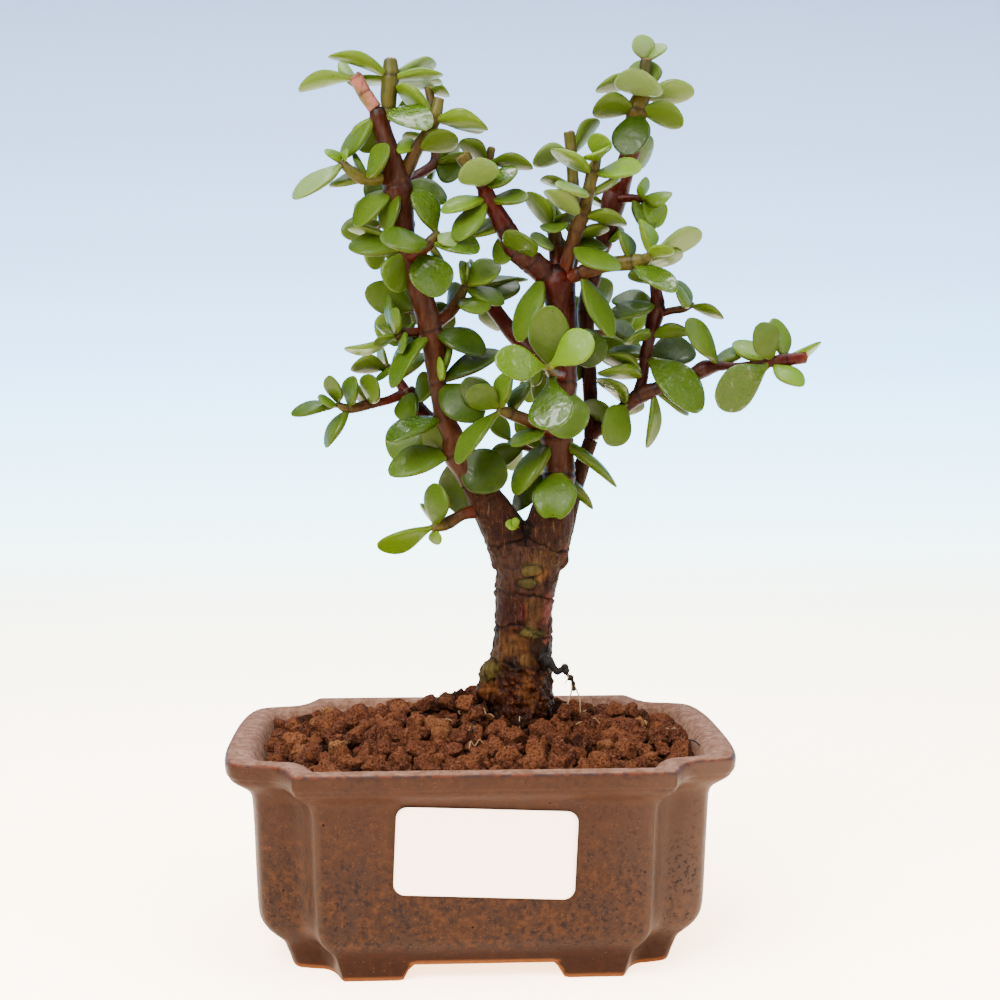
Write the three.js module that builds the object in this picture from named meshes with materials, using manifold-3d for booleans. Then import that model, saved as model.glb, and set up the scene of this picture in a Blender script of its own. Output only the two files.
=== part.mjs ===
// A dwarf jade (Portulacaria afra) grown as a bonsai, in a glazed pot with indented corners.
// Millimetres, +Z up. The plant's front faces -Y and its right is +X.
// The tables below are measured from the centre of the pot's foot.

import * as THREE from 'three';
import { mergeVertices } from 'three/addons/utils/BufferGeometryUtils.js';
import Module from 'manifold-3d';

const wasm = await Module();
wasm.setup();

// ---- Driving dimensions ----------------------------------------------------------------------

const potLength = 116;
const potDepth = 82;
const potHeight = 48;
const footHeight = 3.5;
const floorHeight = 8; // top of the pot's floor
const lipHeight = 3.4; // the rolled band at the rim
const lipWidth = 6.2;
const drainHole = { diameter: 12, spacing: 52 };

const label = { width: 39, height: 19.5, thickness: 0.6, cornerRadius: 2.5, tilt: -2.5 };
const labelCentre = [0.2, 29.6]; // across and up, on the front panel
const labelGap = 0.3; // from the glaze to the back of the paper

const screen = { side: 20, thickness: 0.9, opening: 6.4, openingsPerSide: 2 };

const soilEdgeHeight = 42.6; // the hollows between the grains, at the wall
const soilCrownHeight = 51; // and at the middle of the mound
const moundCentre = [0, 2];
const grainPitch = 9; // from one grain to the next
const grainRise = [1.6, 3.6]; // of a grain's top above the hollows
const hollowRise = [-0.5, 0.5]; // of a hollow above the bed

const gap = 0.35; // kept between solids that touch
const trunkFoot = [10, 2]; // where the trunk stands

const leafThickness = 1.5;
const leafArch = 0.06; // rise of the midrib, as a share of the leaf's length

const colours = {
  glaze: 0x7a4e38,
  label: 0xefeae0,
  screen: 0x2c3f33,
  soil: 0x74452c,
  bark: 0x7b4a30,
  leaf: 0x6f9a2e,
};

// ---- The plant -------------------------------------------------------------------------------

// The woody parts of the trunk's own solid. A joint is [x, y, z, radius], from the foot up.
const trunkParts = {
  root_stump: {
    joints: [[10.5, 2, 22, 3.2], [10.5, 2, 31, 5.6], [10.5, 2, 41, 6.6]],
    sides: 8,
  },
  stem: {
    joints: [
      [10.5, 2, 40, 6.6], [10, 2, 50, 7.5], [10, 2, 56, 7.7], [10, 2, 62, 7.3], [10.5, 2, 69, 6.7],
      [11, 2, 78.5, 6.9], [12, 2, 87, 7.5], [12.5, 2, 92, 8],
    ],
    sides: 8,
  },
  left_base: {
    joints: [
      [9, 2, 89, 5.9], [6, 1, 95.5, 5.2], [2.5, 0, 101.5, 4.4], [-1.5, -1, 107.5, 3.2],
    ],
    sides: 7,
  },
  centre_base: {
    joints: [
      [14.5, 1, 89.5, 6.1], [16.5, 0, 96.5, 5.6], [18, 0, 102.5, 4.7],
    ],
    sides: 7,
  },
  back_base: {
    joints: [
      [17.5, 4, 90, 4], [21, 6, 98.5, 2.8], [24.5, 8, 108.5, 2], [27.5, 9, 116.5, 1.7],
    ],
    sides: 6,
  },
  knob: {
    joints: [[8, 1, 51, 3.4], [4.4, 1, 57, 3.4], [3.8, 1, 61.5, 3.1], [5.8, 1, 65.5, 1.6]],
    sides: 8,
  },
  pruning_nub: { joints: [[16, 1, 87, 2], [19.6, 0, 88.4, 1.6], [19.9, 0, 91, 1.1]], sides: 6 },
  aerial_root: {
    joints: [[14, -1, 66.5, 1], [17.6, -4, 64.4, 1.1], [20.2, -5, 61.4, 0.9], [22, -5.4, 58.6, 0.8],
      [22.4, -5.6, 54.4, 0.7], [22.2, -5.4, 46, 0.6]],
    sides: 5,
  },
  root_left: { joints: [[10, 2, 38, 2.6], [-9, -4, 27, 1.2]], sides: 5 },
  root_right: { joints: [[11, 2, 36, 2.6], [29, 8, 26, 1.1]], sides: 5 },
};

// Buds and old leaf scars that stand out of the bark: [x, y, z, radius].
const barkSwellings = [
  [12.2, -3.6, 85.2, 2.1], [11.8, -3.4, 81.8, 1.8], [11.8, -4, 70.2, 1.7], [8.6, -3.6, 97.6, 1.5],
];

// Every leafy stem, from those that carry others to the last twigs. Its joints are
// [x, y, z, radius] from the foot up. Its leaves are [joint that it grows from, tip x, y, z, width,
// roll]: roll 0 turns the upper face to the front, 90 turns it up and 180 turns it to the back.
const leafyStems = {
  left_limb: {
    joints: [
      [-1.5, -1, 107.5, 3.1], [-5.5, -1, 113.5, 2.7], [-6, -1, 117.5, 2.6], [-8, -1, 122, 2.3],
      [-9, -1, 126, 1.9], [-9.5, -1, 130, 2.1], [-10, -1, 136.5, 2.7], [-11, -1, 142, 2.8],
      [-13, -1, 149.5, 2.7], [-15.5, -1, 157, 1.6], [-16.5, -1, 160.5, 2.1],
      [-17.5, -1, 168.5, 2.8], [-18.5, -1, 175, 3.3], [-20.5, -1, 183, 2.3], [-23, -1, 191.5, 2],
    ],
    leaves: [
      [1, 6, -6, 107, 11, 0], [1, -21, -4, 109.5, 9, 45], [1, -4, 5, 98.5, 10, 35],
      [3, -21, -9, 117, 8.5, 60], [3, -10.5, 3, 112.5, 8.5, 30], [5, 0.5, -8, 122, 9.5, 20],
      [5, -15, 5, 128, 7.5, 30], [7, 1.5, -5, 137, 9, 50], [7, -20, -8, 129, 8, 60],
      [7, -20.5, 6, 135, 7, 60], [10, -20, -3, 151, 8.5, 150], [10, -30, 1, 162, 8.5, 45],
      [12, -28.5, -3, 166, 8, 50], [12, -21, -4, 164.5, 7.5, 55], [12, -7, 0, 172.5, 8.5, 40],
      [14, -32, 2, 182, 8.5, 60], [14, -26, 5, 183.5, 8.5, 150], [5, 5, -2, 137.5, 8, 55],
      [5, -9, -5, 135.5, 6, 65], [5, -6.5, 1, 140, 7, 65], [10, -30, 5, 166, 7, 100],
    ],
  },
  centre_limb: {
    joints: [
      [18, 0, 102.5, 4.5], [19, 0, 109, 3.7], [18.5, 0, 113.5, 3.7], [18.5, 0, 117.5, 3.7],
      [19, 0, 123.5, 3.6], [19.5, 0, 130.5, 3.5], [19.5, 0, 137.5, 3.4], [19.5, 0, 144.5, 3.4],
      [19, 0, 149, 3.6], [18.5, 0, 153, 4.2], [18.5, 0, 155, 3.5],
    ],
    leaves: [
      [1, 16.5, -9, 98.5, 10.5, 20], [1, 27.5, 3, 100.5, 5, 65], [3, 8, -6, 104.5, 8, 60],
      [3, 32.5, -3, 106, 8.5, 65], [5, 19.5, -9, 117.5, 12.5, 10], [6, 29.5, -5, 138, 9, 0],
      [1, 8.2, 6, 100, 6, 30],
    ],
  },
  back_limb: {
    joints: [
      [27.5, 9, 116.5, 1.7], [27.5, 11, 126, 1.8], [27, 13, 138, 1.9], [26.5, 13, 147.5, 2.1],
      [28, 12, 156, 2.1], [30.5, 11, 164, 2.2], [32.5, 10, 172.5, 3], [33.5, 10, 175.5, 2.9],
      [34.5, 8, 179, 2.5], [36, 7, 183.5, 2.4], [37, 6, 189.5, 2.4], [37.5, 5, 194, 2.4],
      [38.5, 5, 197, 2], [39, 5, 201, 1.5], [39.5, 5, 205, 1.4],
    ],
    leaves: [
      [3, 38.5, 9, 140.5, 8, 55], [4, 32.5, 16, 149, 8, 45], [5, 35, 9, 166.5, 7.5, 60],
      [11, 34.5, -2, 182.5, 9.5, 30], [10, 41.5, 15, 182.5, 8, 20], [11, 26.5, 1, 193.5, 8, 125],
      [11, 48, 1, 190.5, 8, 120], [12, 35.5, -7, 200.5, 11.5, 0], [12, 50.5, 2, 198, 8.5, 115],
      [13, 27.5, 5, 198.5, 8, 110], [12, 39, 9, 206, 9.5, 150], [14, 38, 4, 211, 6.5, 25],
      [14, 44, 6, 209.5, 5, 50],
    ],
  },
  right_branch: {
    joints: [
      [27.5, 9, 117.5, 1.4], [30.5, 8, 120, 1.6], [36, 6, 125, 1.7], [38.5, 5, 127, 2],
      [42, 4, 128.5, 1.7], [46.5, 3, 130, 1.4], [51, 2, 132, 1.8], [53.5, 1, 133.5, 2],
      [56.5, 0, 134, 1.2], [60.5, -1, 134, 0.8], [65, -1, 134.5, 0.9], [69, -1, 135, 1.3],
      [72, -1, 135.5, 1.5], [76.5, -1, 136, 1.4],
    ],
    leaves: [
      [2, 29.5, -3, 116.5, 9.5, 20], [2, 28.5, 0, 131.5, 7.5, 110], [3, 36.5, 8, 122, 7, 40],
      [4, 40.5, 4, 114.5, 5, 50], [4, 51.5, 10, 123, 6.5, 55], [8, 48, -5, 144.5, 8, 45],
      [8, 62, 5, 138.5, 7.5, 110], [11, 54.5, -8, 125.5, 11, 20], [11, 75, -6, 129.5, 8, 45],
      [11, 64.5, -6, 143.5, 8, 20], [11, 60.5, 3, 140, 8, 50], [12, 70.5, 3, 145.5, 7, 35],
      [12, 81.5, 3, 139, 6.5, 65], [1, 27.5, 5, 126.5, 8, 125],
    ],
  },
  front_rosette: {
    joints: [
      [19, -3, 132, 1.7], [16.5, -10, 132.5, 1.4], [15, -15, 133.5, 0.9],
    ],
    leaves: [
      [1, 15.5, -20, 120, 11, 25], [1, 15, -17, 147, 9.5, 15], [2, 3, -21, 135, 8.5, 20],
      [2, 24.5, -20, 140, 9, 35],
    ],
  },
  crown_shoot_a: {
    joints: [
      [17.5, 0, 154, 2.6], [15.2, -0.8, 155.5, 2.7], [12, -2, 158, 2.8], [9, -3, 160.5, 2.7],
      [6, -4, 165.5, 2.3], [3.5, -5, 169.5, 2.1], [2, -5, 172, 2], [1, -5, 174.5, 1.6],
      [-1.5, -6, 178, 1.5], [-3.5, -6, 181, 1.8],
    ],
    leaves: [
      [2, 7, -11, 164, 8.5, 50], [3, 3, -2, 160, 8, 30], [6, 11, -8, 172, 7.5, 60],
      [6, -8.5, -9, 168.5, 7.5, 60], [6, -5.5, -10, 162, 8, 50], [7, -1.5, -15, 179, 9.5, 20],
      [7, 8.5, -9, 178, 7.5, 55], [4, -2.5, 3, 165, 7.5, 50], [1, 9, -7, 139.5, 8, 45],
    ],
    branches: [
      {
        joints: [
          [1.5, -3, 173.5, 1], [2, -2, 177.5, 1], [2.5, -1, 181, 1], [3, -1, 183.5, 1],
        ],
        leaves: [
          [2, -4, -3, 185.5, 7.5, 110], [2, 12.5, -4, 179.5, 7.5, 105], [1, 5.5, 8, 177.5, 8, 90],
        ],
      },
    ],
  },
  crown_shoot_c: {
    joints: [
      [19.5, -1, 154, 1.7], [21.5, -2, 161.5, 1.6], [22.5, -3, 165, 1.7], [24, -4, 168.5, 1.6],
      [24.5, -4, 171, 1.5], [25, -5, 173.5, 1.4], [26, -5, 178, 1.5], [27, -5, 181, 1],
    ],
    leaves: [
      [1, 30, 3, 162.5, 7, 55], [1, 31, -13, 155.5, 8, 45], [3, 34, -6, 166.5, 8, 105],
      [3, 15, -6, 174, 8.5, 110], [5, 18, -14, 173.5, 8, 60], [5, 32.5, 2, 177, 7.5, 100],
      [6, 16.5, -8, 183, 9, 100], [6, 36.5, -10, 178.5, 9, 60], [7, 27.5, -7, 186.5, 6.5, 150],
      [7, 26, -12, 181.5, 6.5, 140], [2, 30, 1, 165.5, 7.5, 110],
    ],
  },
  left_top_stub: {
    joints: [
      [-23.5, -1, 192.5, 1.6], [-26, -1, 196, 1.6], [-28, -2, 199.5, 1.5],
    ],
    leaves: [
      [2, -41, -2, 196.5, 8, 100], [1, -31.5, 8, 205, 5, 120],
    ],
  },
  left_upright_stub: {
    joints: [
      [-21.5, 0, 189.5, 1.2], [-20.5, 0, 192.5, 1.5], [-20.5, 0, 195.5, 1.9], [-20, 0, 200, 2],
      [-20, 0, 203.5, 1.5],
    ],
    leaves: [
      [1, -11.5, -12, 186.5, 9.5, 40], [3, -34, -3, 204, 8.5, 95], [3, -8, -2, 200.5, 8, 90],
      [3, -10, 11, 204.5, 8, 95], [3, -27, 11, 200.5, 7.5, 90], [3, -8.5, 10, 200.5, 7.5, 95],
    ],
  },
  left_side_branch: {
    joints: [
      [-17.5, 0, 176.5, 1.6], [-15.5, -1, 180.5, 1.6], [-14, -2, 183.5, 1.5],
      [-11.5, -3, 187, 1.4], [-10, -4, 190, 1.5], [-9, -4, 194, 1.2],
    ],
    leaves: [
      [2, -5, -6, 186, 8.5, 120], [2, -18.5, -1, 185, 7, 50], [4, -18.5, -1, 197.5, 8.5, 110],
      [4, 2, -8, 187.5, 9, 105], [4, 1, 5, 188.5, 8, 100],
    ],
  },
  left_shoot: {
    joints: [
      [-20.5, -1, 177, 1.5], [-26, -2, 176.5, 1.4], [-29, -3, 178, 1.3], [-31, -3, 180, 0.9],
    ],
    leaves: [
      [1, -20.5, -8, 183, 8, 55], [1, -34, 5, 176.5, 7, 60], [1, -28.5, 4, 182.5, 5, 75],
      [3, -42, -7, 171.5, 9, 55], [3, -34.5, -2, 183.5, 5.5, 65], [3, -30, -4, 183, 4.5, 65],
    ],
  },
  left_middle_shoot: {
    joints: [
      [-16, -2, 159, 1.5], [-13.5, -4, 160, 1.4], [-11, -6, 162, 1.3], [-9.5, -6, 164, 0.8],
    ],
    leaves: [
      [1, -9.5, -9, 149.5, 10.5, 15], [2, -22, -12, 162, 9.5, 50], [2, 0, -9, 160, 9, 50],
      [3, -14.5, -7, 173.5, 8.5, 45], [3, -4, -9, 161, 7.5, 50], [2, -9.5, 4, 158, 8, 100],
    ],
  },
  left_inner_twig: {
    joints: [
      [-9.5, 0, 144, 1.5], [-6.5, 1, 146.5, 1.5], [-4.5, 2, 149.5, 1.4], [-3, 2, 152.5, 0.9],
    ],
    leaves: [
      [2, 1.5, -5, 146.5, 8, 50], [3, -7.5, 8, 148.5, 7.5, 60], [3, 6, -1, 148.5, 7, 55],
      [3, -4, -1, 158, 6, 65], [3, 5, 2, 158, 8.5, 45], [3, -1.5, 4, 158, 7, 75],
    ],
  },
  left_outer_twig: {
    joints: [
      [-12.5, 0, 142, 1.1], [-17.5, -1, 141.5, 1], [-19, -1, 140.5, 0.8],
    ],
    leaves: [
      [2, -19, -5, 147, 5, 65], [1, -15.5, 5, 144, 4, 65], [2, -21.5, 2, 150.5, 5, 70],
      [2, -31, -2, 137.5, 6.5, 75], [2, -23.5, 6, 143, 4.5, 70], [2, -23.5, -6, 139.5, 5, 70],
      [1, -17.5, -7, 137.5, 5, 65],
    ],
  },
  low_left_twig: {
    joints: [
      [2, 0, 100.5, 1.9], [-3.5, -2, 99.5, 1.4], [-7.5, -3, 97.5, 1.5], [-10.5, -4, 96.5, 1],
    ],
    leaves: [
      [3, -10, -6, 107, 8.5, 50], [3, -23.5, -7, 92.5, 8.5, 55], [3, -10, -4, 92.5, 5, 55],
      [2, -13.5, 3, 100.5, 8, 70],
    ],
  },
  shaded_limb: {
    joints: [
      [-2.5, 0, 109, 1.5], [-6, 3, 114, 1.5], [-9.5, 6, 119.5, 1.8], [-14, 8, 124, 1.8],
      [-16.5, 9, 128, 2],
    ],
    leaves: [
      [3, -19, 4, 111.5, 9.5, 20], [4, -15.5, 1.5, 121.5, 7, 30],
    ],
    branches: [
      {
        joints: [
          [-17.5, 9, 127.5, 1.3], [-21, 8, 126, 1.1], [-25.5, 7, 125, 1.2], [-30.5, 6, 124, 1.1],
          [-33, 6, 125, 0.7],
        ],
        leaves: [
          [2, -24.5, 1, 131.5, 7.5, 50], [3, -29, 3, 131.5, 6.5, 55], [3, -36, 4, 115, 6.5, 60],
          [4, -37, 2, 126.5, 5, 70], [4, -34.5, 2, 131.5, 6.5, 50], [4, -44, 5, 123, 6, 65],
          [2, -29.5, 13, 130, 5, 65],
        ],
      },
      {
        joints: [
          [-16.5, 9, 127, 1.6], [-19, 11, 131, 1.1], [-21.5, 11, 134, 1],
        ],
        leaves: [
          [1, -12.5, 14, 137.5, 8, 60], [2, -30, 8, 134, 7.5, 120], [2, -23.5, 12, 139, 6, 70],
          [2, -23, 7, 131, 5, 60],
        ],
      },
    ],
  },
  middle_twig: {
    joints: [
      [18.5, 0, 118, 1.6], [15.5, -3, 119.5, 1.6], [11, -6, 121.5, 1.5], [7, -8, 123, 1.4],
      [4.5, -9, 124, 1],
    ],
    leaves: [
      [3, 11, -3, 130.5, 6.5, 60], [1, 7.5, -11, 116, 6.5, 65], [4, 6.5, -12, 132.5, 6.5, 60],
      [4, -2.5, -15, 128.5, 7, 20], [4, -5.5, -12, 112, 8, 65], [4, -4, -9.5, 130.5, 8, 30],
    ],
  },
  red_twig: {
    joints: [
      [18.5, 1, 134.5, 2.1], [15.5, 2.5, 136.3, 2.1], [12.5, 4, 138, 2.1], [9, 6, 141, 2],
      [5.5, 7, 145.5, 1.9], [3, 8, 149, 1.7], [0.5, 9, 153, 1.1],
    ],
    leaves: [
      [1, 11, 7, 130.5, 8, 40], [5, 9, 12, 155, 8.5, 45], [5, 4, 12, 142.5, 7.5, 45],
      [6, -1.5, 18, 158.5, 7, 80], [6, 12.5, 18, 155.5, 7, 70],
    ],
  },
  crown_shoot_b: {
    joints: [
      [18.5, 1, 154, 1.8], [18.5, 4, 162, 1.9], [18, 4, 165.5, 1.5], [18, 4, 167, 0.9],
    ],
    leaves: [
      [1, 12.5, 0, 163.5, 7.5, 60], [2, 20.5, 17, 163, 7.5, 90], [3, 17, -7, 164.5, 6.5, 30],
      [3, 21.5, -1, 169.5, 6, 115], [2, 18, 14, 171, 8, 90], [2, 11.5, 2, 174.5, 8, 115],
    ],
  },
  crown_shoot_d: {
    joints: [
      [19.5, -1, 153.5, 1.6], [23.5, -3, 155.3, 1.7], [25.5, -4, 156, 1.7], [29, -5, 157, 1.7],
      [35, -7, 157.5, 1.8], [37.5, -8, 158, 1.4], [39, -8, 159, 0.9],
    ],
    leaves: [
      [4, 32.5, -6, 165, 7.5, 55], [4, 43.5, -15, 150.5, 8.5, 45], [5, 47, 0, 159, 8, 110],
      [6, 38, -4, 167.5, 7.5, 55], [6, 42.5, -12, 161, 7, 120], [6, 51.5, -3, 164, 9, 120],
      [1, 30.5, -8, 140.5, 8, 45],
    ],
  },
  crown_back_stub: {
    joints: [
      [20, 3, 154, 1.4], [22.5, 6, 158.5, 1.4], [23.5, 8, 165, 1.4], [23, 10, 177, 1.4],
      [22.5, 10, 184.5, 1.4], [22, 10, 189, 1.4],
    ],
    leaves: [
      [4, 13, 7, 182.5, 8.5, 115], [4, 29.5, 14, 192.5, 8, 115], [3, 15.5, 13, 178.5, 8, 100],
      [3, 30, 16, 173, 8, 90], [2, 17, 18, 174.5, 8, 80],
    ],
  },
  right_upright: {
    joints: [
      [38.5, 6, 128, 1.5], [39.5, 6, 132, 1.3], [40, 6, 136.5, 1.4], [41, 5, 141.5, 1.5],
      [42, 5, 145.5, 2], [42.5, 4, 148.5, 1.7], [42, 4, 152, 1.4], [41.5, 3, 154.5, 1.1],
    ],
    leaves: [
      [1, 28, -2, 133, 7.5, 115], [1, 29.5, 1, 137, 7.5, 110], [3, 34.5, -3, 140.5, 6.5, 110],
      [3, 50.5, 0, 142, 7.5, 110], [2, 53, 12, 138.5, 9, 30], [2, 33, 13, 139, 8, 60],
      [5, 31.5, -1, 145.5, 8, 60], [5, 32.5, 10, 150.5, 8, 50], [7, 36.5, 8, 155, 7, 110],
      [2, 51.5, -4, 123.5, 9.5, 15],
    ],
    branches: [
      {
        joints: [
          [42, 5, 146, 1.1], [45.5, 4, 147, 0.9], [48.5, 3, 147.5, 0.9], [50.5, 2, 148.5, 0.6],
        ],
        leaves: [
          [3, 46, -3, 151, 6, 50], [3, 48, 5, 154.5, 6, 60], [3, 57.5, -1, 145.5, 7, 100],
        ],
      },
    ],
  },
  back_limb_shoot: {
    joints: [
      [33.5, 8, 173.5, 1.1], [37, 6, 173.5, 0.9], [39, 5, 173, 0.7],
    ],
    leaves: [
      [1, 40, 1, 165, 7.5, 45], [2, 39.5, 3, 178, 6.5, 55], [2, 45.5, 2, 173.5, 7.5, 125],
      [2, 43.5, 5, 167, 8, 30],
    ],
  },
  left_back_shoot: {
    joints: [
      [-18, 0, 175, 1.4], [-14.5, 9, 178.5, 1.3], [-10, 13, 182.5, 1.2], [-10, 15, 188.5, 1.2],
      [-10.5, 18, 197, 1.1], [-11.5, 19, 201.5, 0.9],
    ],
    leaves: [
      [2, -3.5, 12, 180, 9, 30], [2, -4, 18, 186.5, 8, 115], [3, -17, 20, 188.5, 8, 100],
      [4, -19, 15, 195.5, 8, 120], [2, -0.5, 12, 184.5, 7.5, 95], [5, -17.5, 20, 203, 8, 100],
      [5, -6, 18, 199.5, 7, 100], [2, -12, 20, 177, 8, 90], [4, -12, 28, 207.5, 8, 100],
    ],
  },
};

// Shoots that fill the back of the crown. Each starts inside its limb, heads back, and bears
// crossed pairs of leaves at even steps. The first pair is turned by so many degrees.
const rearShoots = {
  rear_left: {
    start: [-12.5, -1, 146], heading: [-0.3, 0.95, 0.2], length: 24, pairs: 4, turn: 20, seed: 110003,
  },
  rear_upper_left: {
    start: [-18, -1, 170], heading: [-0.35, 0.95, -0.1], length: 20, pairs: 3, turn: 80, seed: 250007,
  },
  rear_low: {
    start: [18, 0, 112], heading: [-0.45, 0.9, 0.25], length: 22, pairs: 3, turn: 60, seed: 390001,
  },
  rear_middle: {
    start: [19.5, 0, 133], heading: [-0.15, 0.95, 0.1], length: 30, pairs: 4, turn: 0, seed: 530009,
  },
  rear_right: {
    start: [25, 13, 141], heading: [0.55, 0.8, 0.15], length: 22, pairs: 4, turn: 45, seed: 670003,
  },
};
const rearStemRadius = [1.5, 0.7]; // at the foot and at the tip
const rearLeafLength = [13, 9]; // of the first pair and of the last
const rearLeafSlant = 65; // degrees between a leaf and its stem
const leafWidthShare = 0.62; // width over length

// ---- Helpers ---------------------------------------------------------------------------------

const vector = (x, y, z) => new THREE.Vector3(x, y, z);

// Numbers between two limits, in an order that the seed alone sets.
function draws(seed) {
  let state = seed;
  return (low, high) => {
    state = (state * 16807) % 2147483647;
    return low + (high - low) * state / 2147483647;
  };
}

// A closed three.js geometry as a solid that can be joined and cut.
function solidOf(geometry) {
  const bare = geometry.clone();
  bare.deleteAttribute('normal');
  bare.deleteAttribute('uv');
  const merged = mergeVertices(bare, 1e-4);
  return new wasm.Manifold(new wasm.Mesh({
    numProp: 3,
    vertProperties: Float32Array.from(merged.attributes.position.array),
    triVerts: Uint32Array.from(merged.index.array),
  }));
}

function geometryOf(solid) {
  const mesh = solid.getMesh();
  const geometry = new THREE.BufferGeometry();
  geometry.setAttribute('position', new THREE.BufferAttribute(mesh.vertProperties, 3));
  geometry.setIndex(new THREE.BufferAttribute(mesh.triVerts, 1));
  geometry.computeVertexNormals();
  return geometry;
}

// A solid through rings of equal count, closed by a flat face at each end.
function loft(rings) {
  const count = rings[0].length;
  const positions = rings.flat().flatMap((point) => [point.x, point.y, point.z]);
  const faces = [];
  for (let ring = 0; ring + 1 < rings.length; ring += 1) {
    for (let i = 0; i < count; i += 1) {
      const a = ring * count + i;
      const b = ring * count + ((i + 1) % count);
      faces.push(a, b, b + count, a, b + count, a + count);
    }
  }
  const last = (rings.length - 1) * count;
  for (let i = 1; i + 1 < count; i += 1) {
    faces.push(0, i + 1, i, last, last + i, last + i + 1);
  }
  const geometry = new THREE.BufferGeometry();
  geometry.setAttribute('position', new THREE.Float32BufferAttribute(positions, 3));
  geometry.setIndex(faces);
  return geometry;
}

function joined(solids) {
  return solids.reduce((whole, solid) => whole.add(solid));
}

// ---- Pot -------------------------------------------------------------------------------------

// A quarter of the pot's outline, from the middle of the front to the middle of the side, in
// shares of its half length and half depth: the flat panel, the fluted notch and the side lobe.
const quarterOutline = [
  [0, 1], [0.698, 1], [0.716, 0.957], [0.73, 0.895], [0.752, 0.83], [0.795, 0.768], [0.875, 0.741],
  [0.935, 0.711], [0.966, 0.644], [0.985, 0.513], [0.997, 0.293], [1, 0],
];

function outline(sideInset, frontInset) {
  const halfLength = potLength / 2 - sideInset;
  const halfDepth = potDepth / 2 - frontInset;
  const there = quarterOutline.slice(0, -1);
  const back = quarterOutline.slice(1).reverse();
  return [
    ...there.map(([x, y]) => [x, -y]),
    ...back.map(([x, y]) => [x, y]),
    ...there.map(([x, y]) => [-x, y]),
    ...back.map(([x, y]) => [-x, -y]),
  ].map(([x, y]) => [x * halfLength, y * halfDepth]);
}

function ringAt([height, sideInset, frontInset]) {
  return outline(sideInset, frontInset).map(([x, y]) => vector(x, y, height));
}

// [height, inset of the sides, inset of the front] up the outside, over the lip and down inside.
const lipFoot = potHeight - lipHeight;
const outerProfile = [
  [footHeight, 13, 8.9], [5.2, 12.3, 8.7], [6.8, 10.6, 8], [8.4, 8.9, 7], [10.4, 7.4, 5.9],
  [13.5, 6.8, 5.3], [36, 5.9, 4.6], [40.2, 4.8, 3.7], [42.6, 1.6, 1.3], [lipFoot, 0.3, 0.2],
  [potHeight - 1.1, 0, 0], [potHeight, 0.8, 0.6],
];
const innerProfile = [
  [potHeight, lipWidth, lipWidth * 0.78], [potHeight - 1.2, lipWidth + 0.6, lipWidth * 0.78 + 0.5],
  [40, 10.3, 7.9], [12, 13, 10], [floorHeight, 16, 12.3],
];

// A bracket foot follows the corner. Its plan, in the first quarter, runs out along the front
// edge and back along the inner one. Its inner end slopes up to the foot ring.
const footPlan = [
  [15.5, 31.6], [28.4, 31.6], [30.6, 30.2], [32.2, 27.4], [34.6, 24.6], [38.6, 23], [41.8, 20.8],
  [43.5, 17.4], [43.7, 15.2], [39.7, 15.2], [38.2, 18], [35.4, 19.9], [31.4, 21.8], [28.4, 25],
  [26.6, 27.2], [15.5, 27.2],
];
const footSlope = 2.5;
const footSink = 1; // how far a foot runs up into the pot

function foot(sideX, sideY) {
  const plan = new THREE.Shape(footPlan.map(([x, y]) => new THREE.Vector2(x * sideX, y * sideY)));
  const geometry = new THREE.ExtrudeGeometry(plan, {
    depth: footHeight + footSink, bevelEnabled: false, steps: 1,
  });
  const place = geometry.attributes.position;
  for (let i = 0; i < place.count; i += 1) {
    if (place.getZ(i) < 0.01 && Math.abs(place.getX(i)) < footPlan[0][0] + 0.1) {
      place.setX(i, place.getX(i) + footSlope * sideX);
    }
  }
  return solidOf(geometry);
}

const drainHoles = [-1, 1].map((side) => side * drainHole.spacing / 2);

function potSolid() {
  const rings = [...outerProfile, ...innerProfile].map(ringAt);
  const feet = [[1, 1], [1, -1], [-1, 1], [-1, -1]].map(([x, y]) => foot(x, y));
  const bodyWithFeet = joined([solidOf(loft(rings)), ...feet]);
  const drill = new THREE.CylinderGeometry(
    drainHole.diameter / 2, drainHole.diameter / 2, floorHeight * 2, 16,
  ).rotateX(Math.PI / 2);
  return drainHoles.reduce(
    (pot, x) => pot.subtract(solidOf(drill.clone().translate(x, 0, floorHeight / 2))),
    bodyWithFeet,
  );
}

// ---- Label and drain screens -----------------------------------------------------------------

// How far the glaze of the front panel stands from the middle of the pot at a height, between
// the two levels of the profile that lie round it.
function panelDepth(height) {
  const above = outerProfile.findIndex(([level]) => level >= height);
  const [lowLevel, , lowInset] = outerProfile[above - 1];
  const [highLevel, , highInset] = outerProfile[above];
  const share = (height - lowLevel) / (highLevel - lowLevel);
  return potDepth / 2 - lowInset - (highInset - lowInset) * share;
}

// Half the label's width at a height over its lower edge: the corners are round.
function labelHalfWidth(rise) {
  const intoCorner = label.cornerRadius - Math.min(rise, label.height - rise);
  const { cornerRadius } = label;
  const roundedOff = intoCorner > 0
    ? cornerRadius - Math.sqrt(cornerRadius ** 2 - intoCorner ** 2) : 0;
  return label.width / 2 - roundedOff;
}

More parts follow.
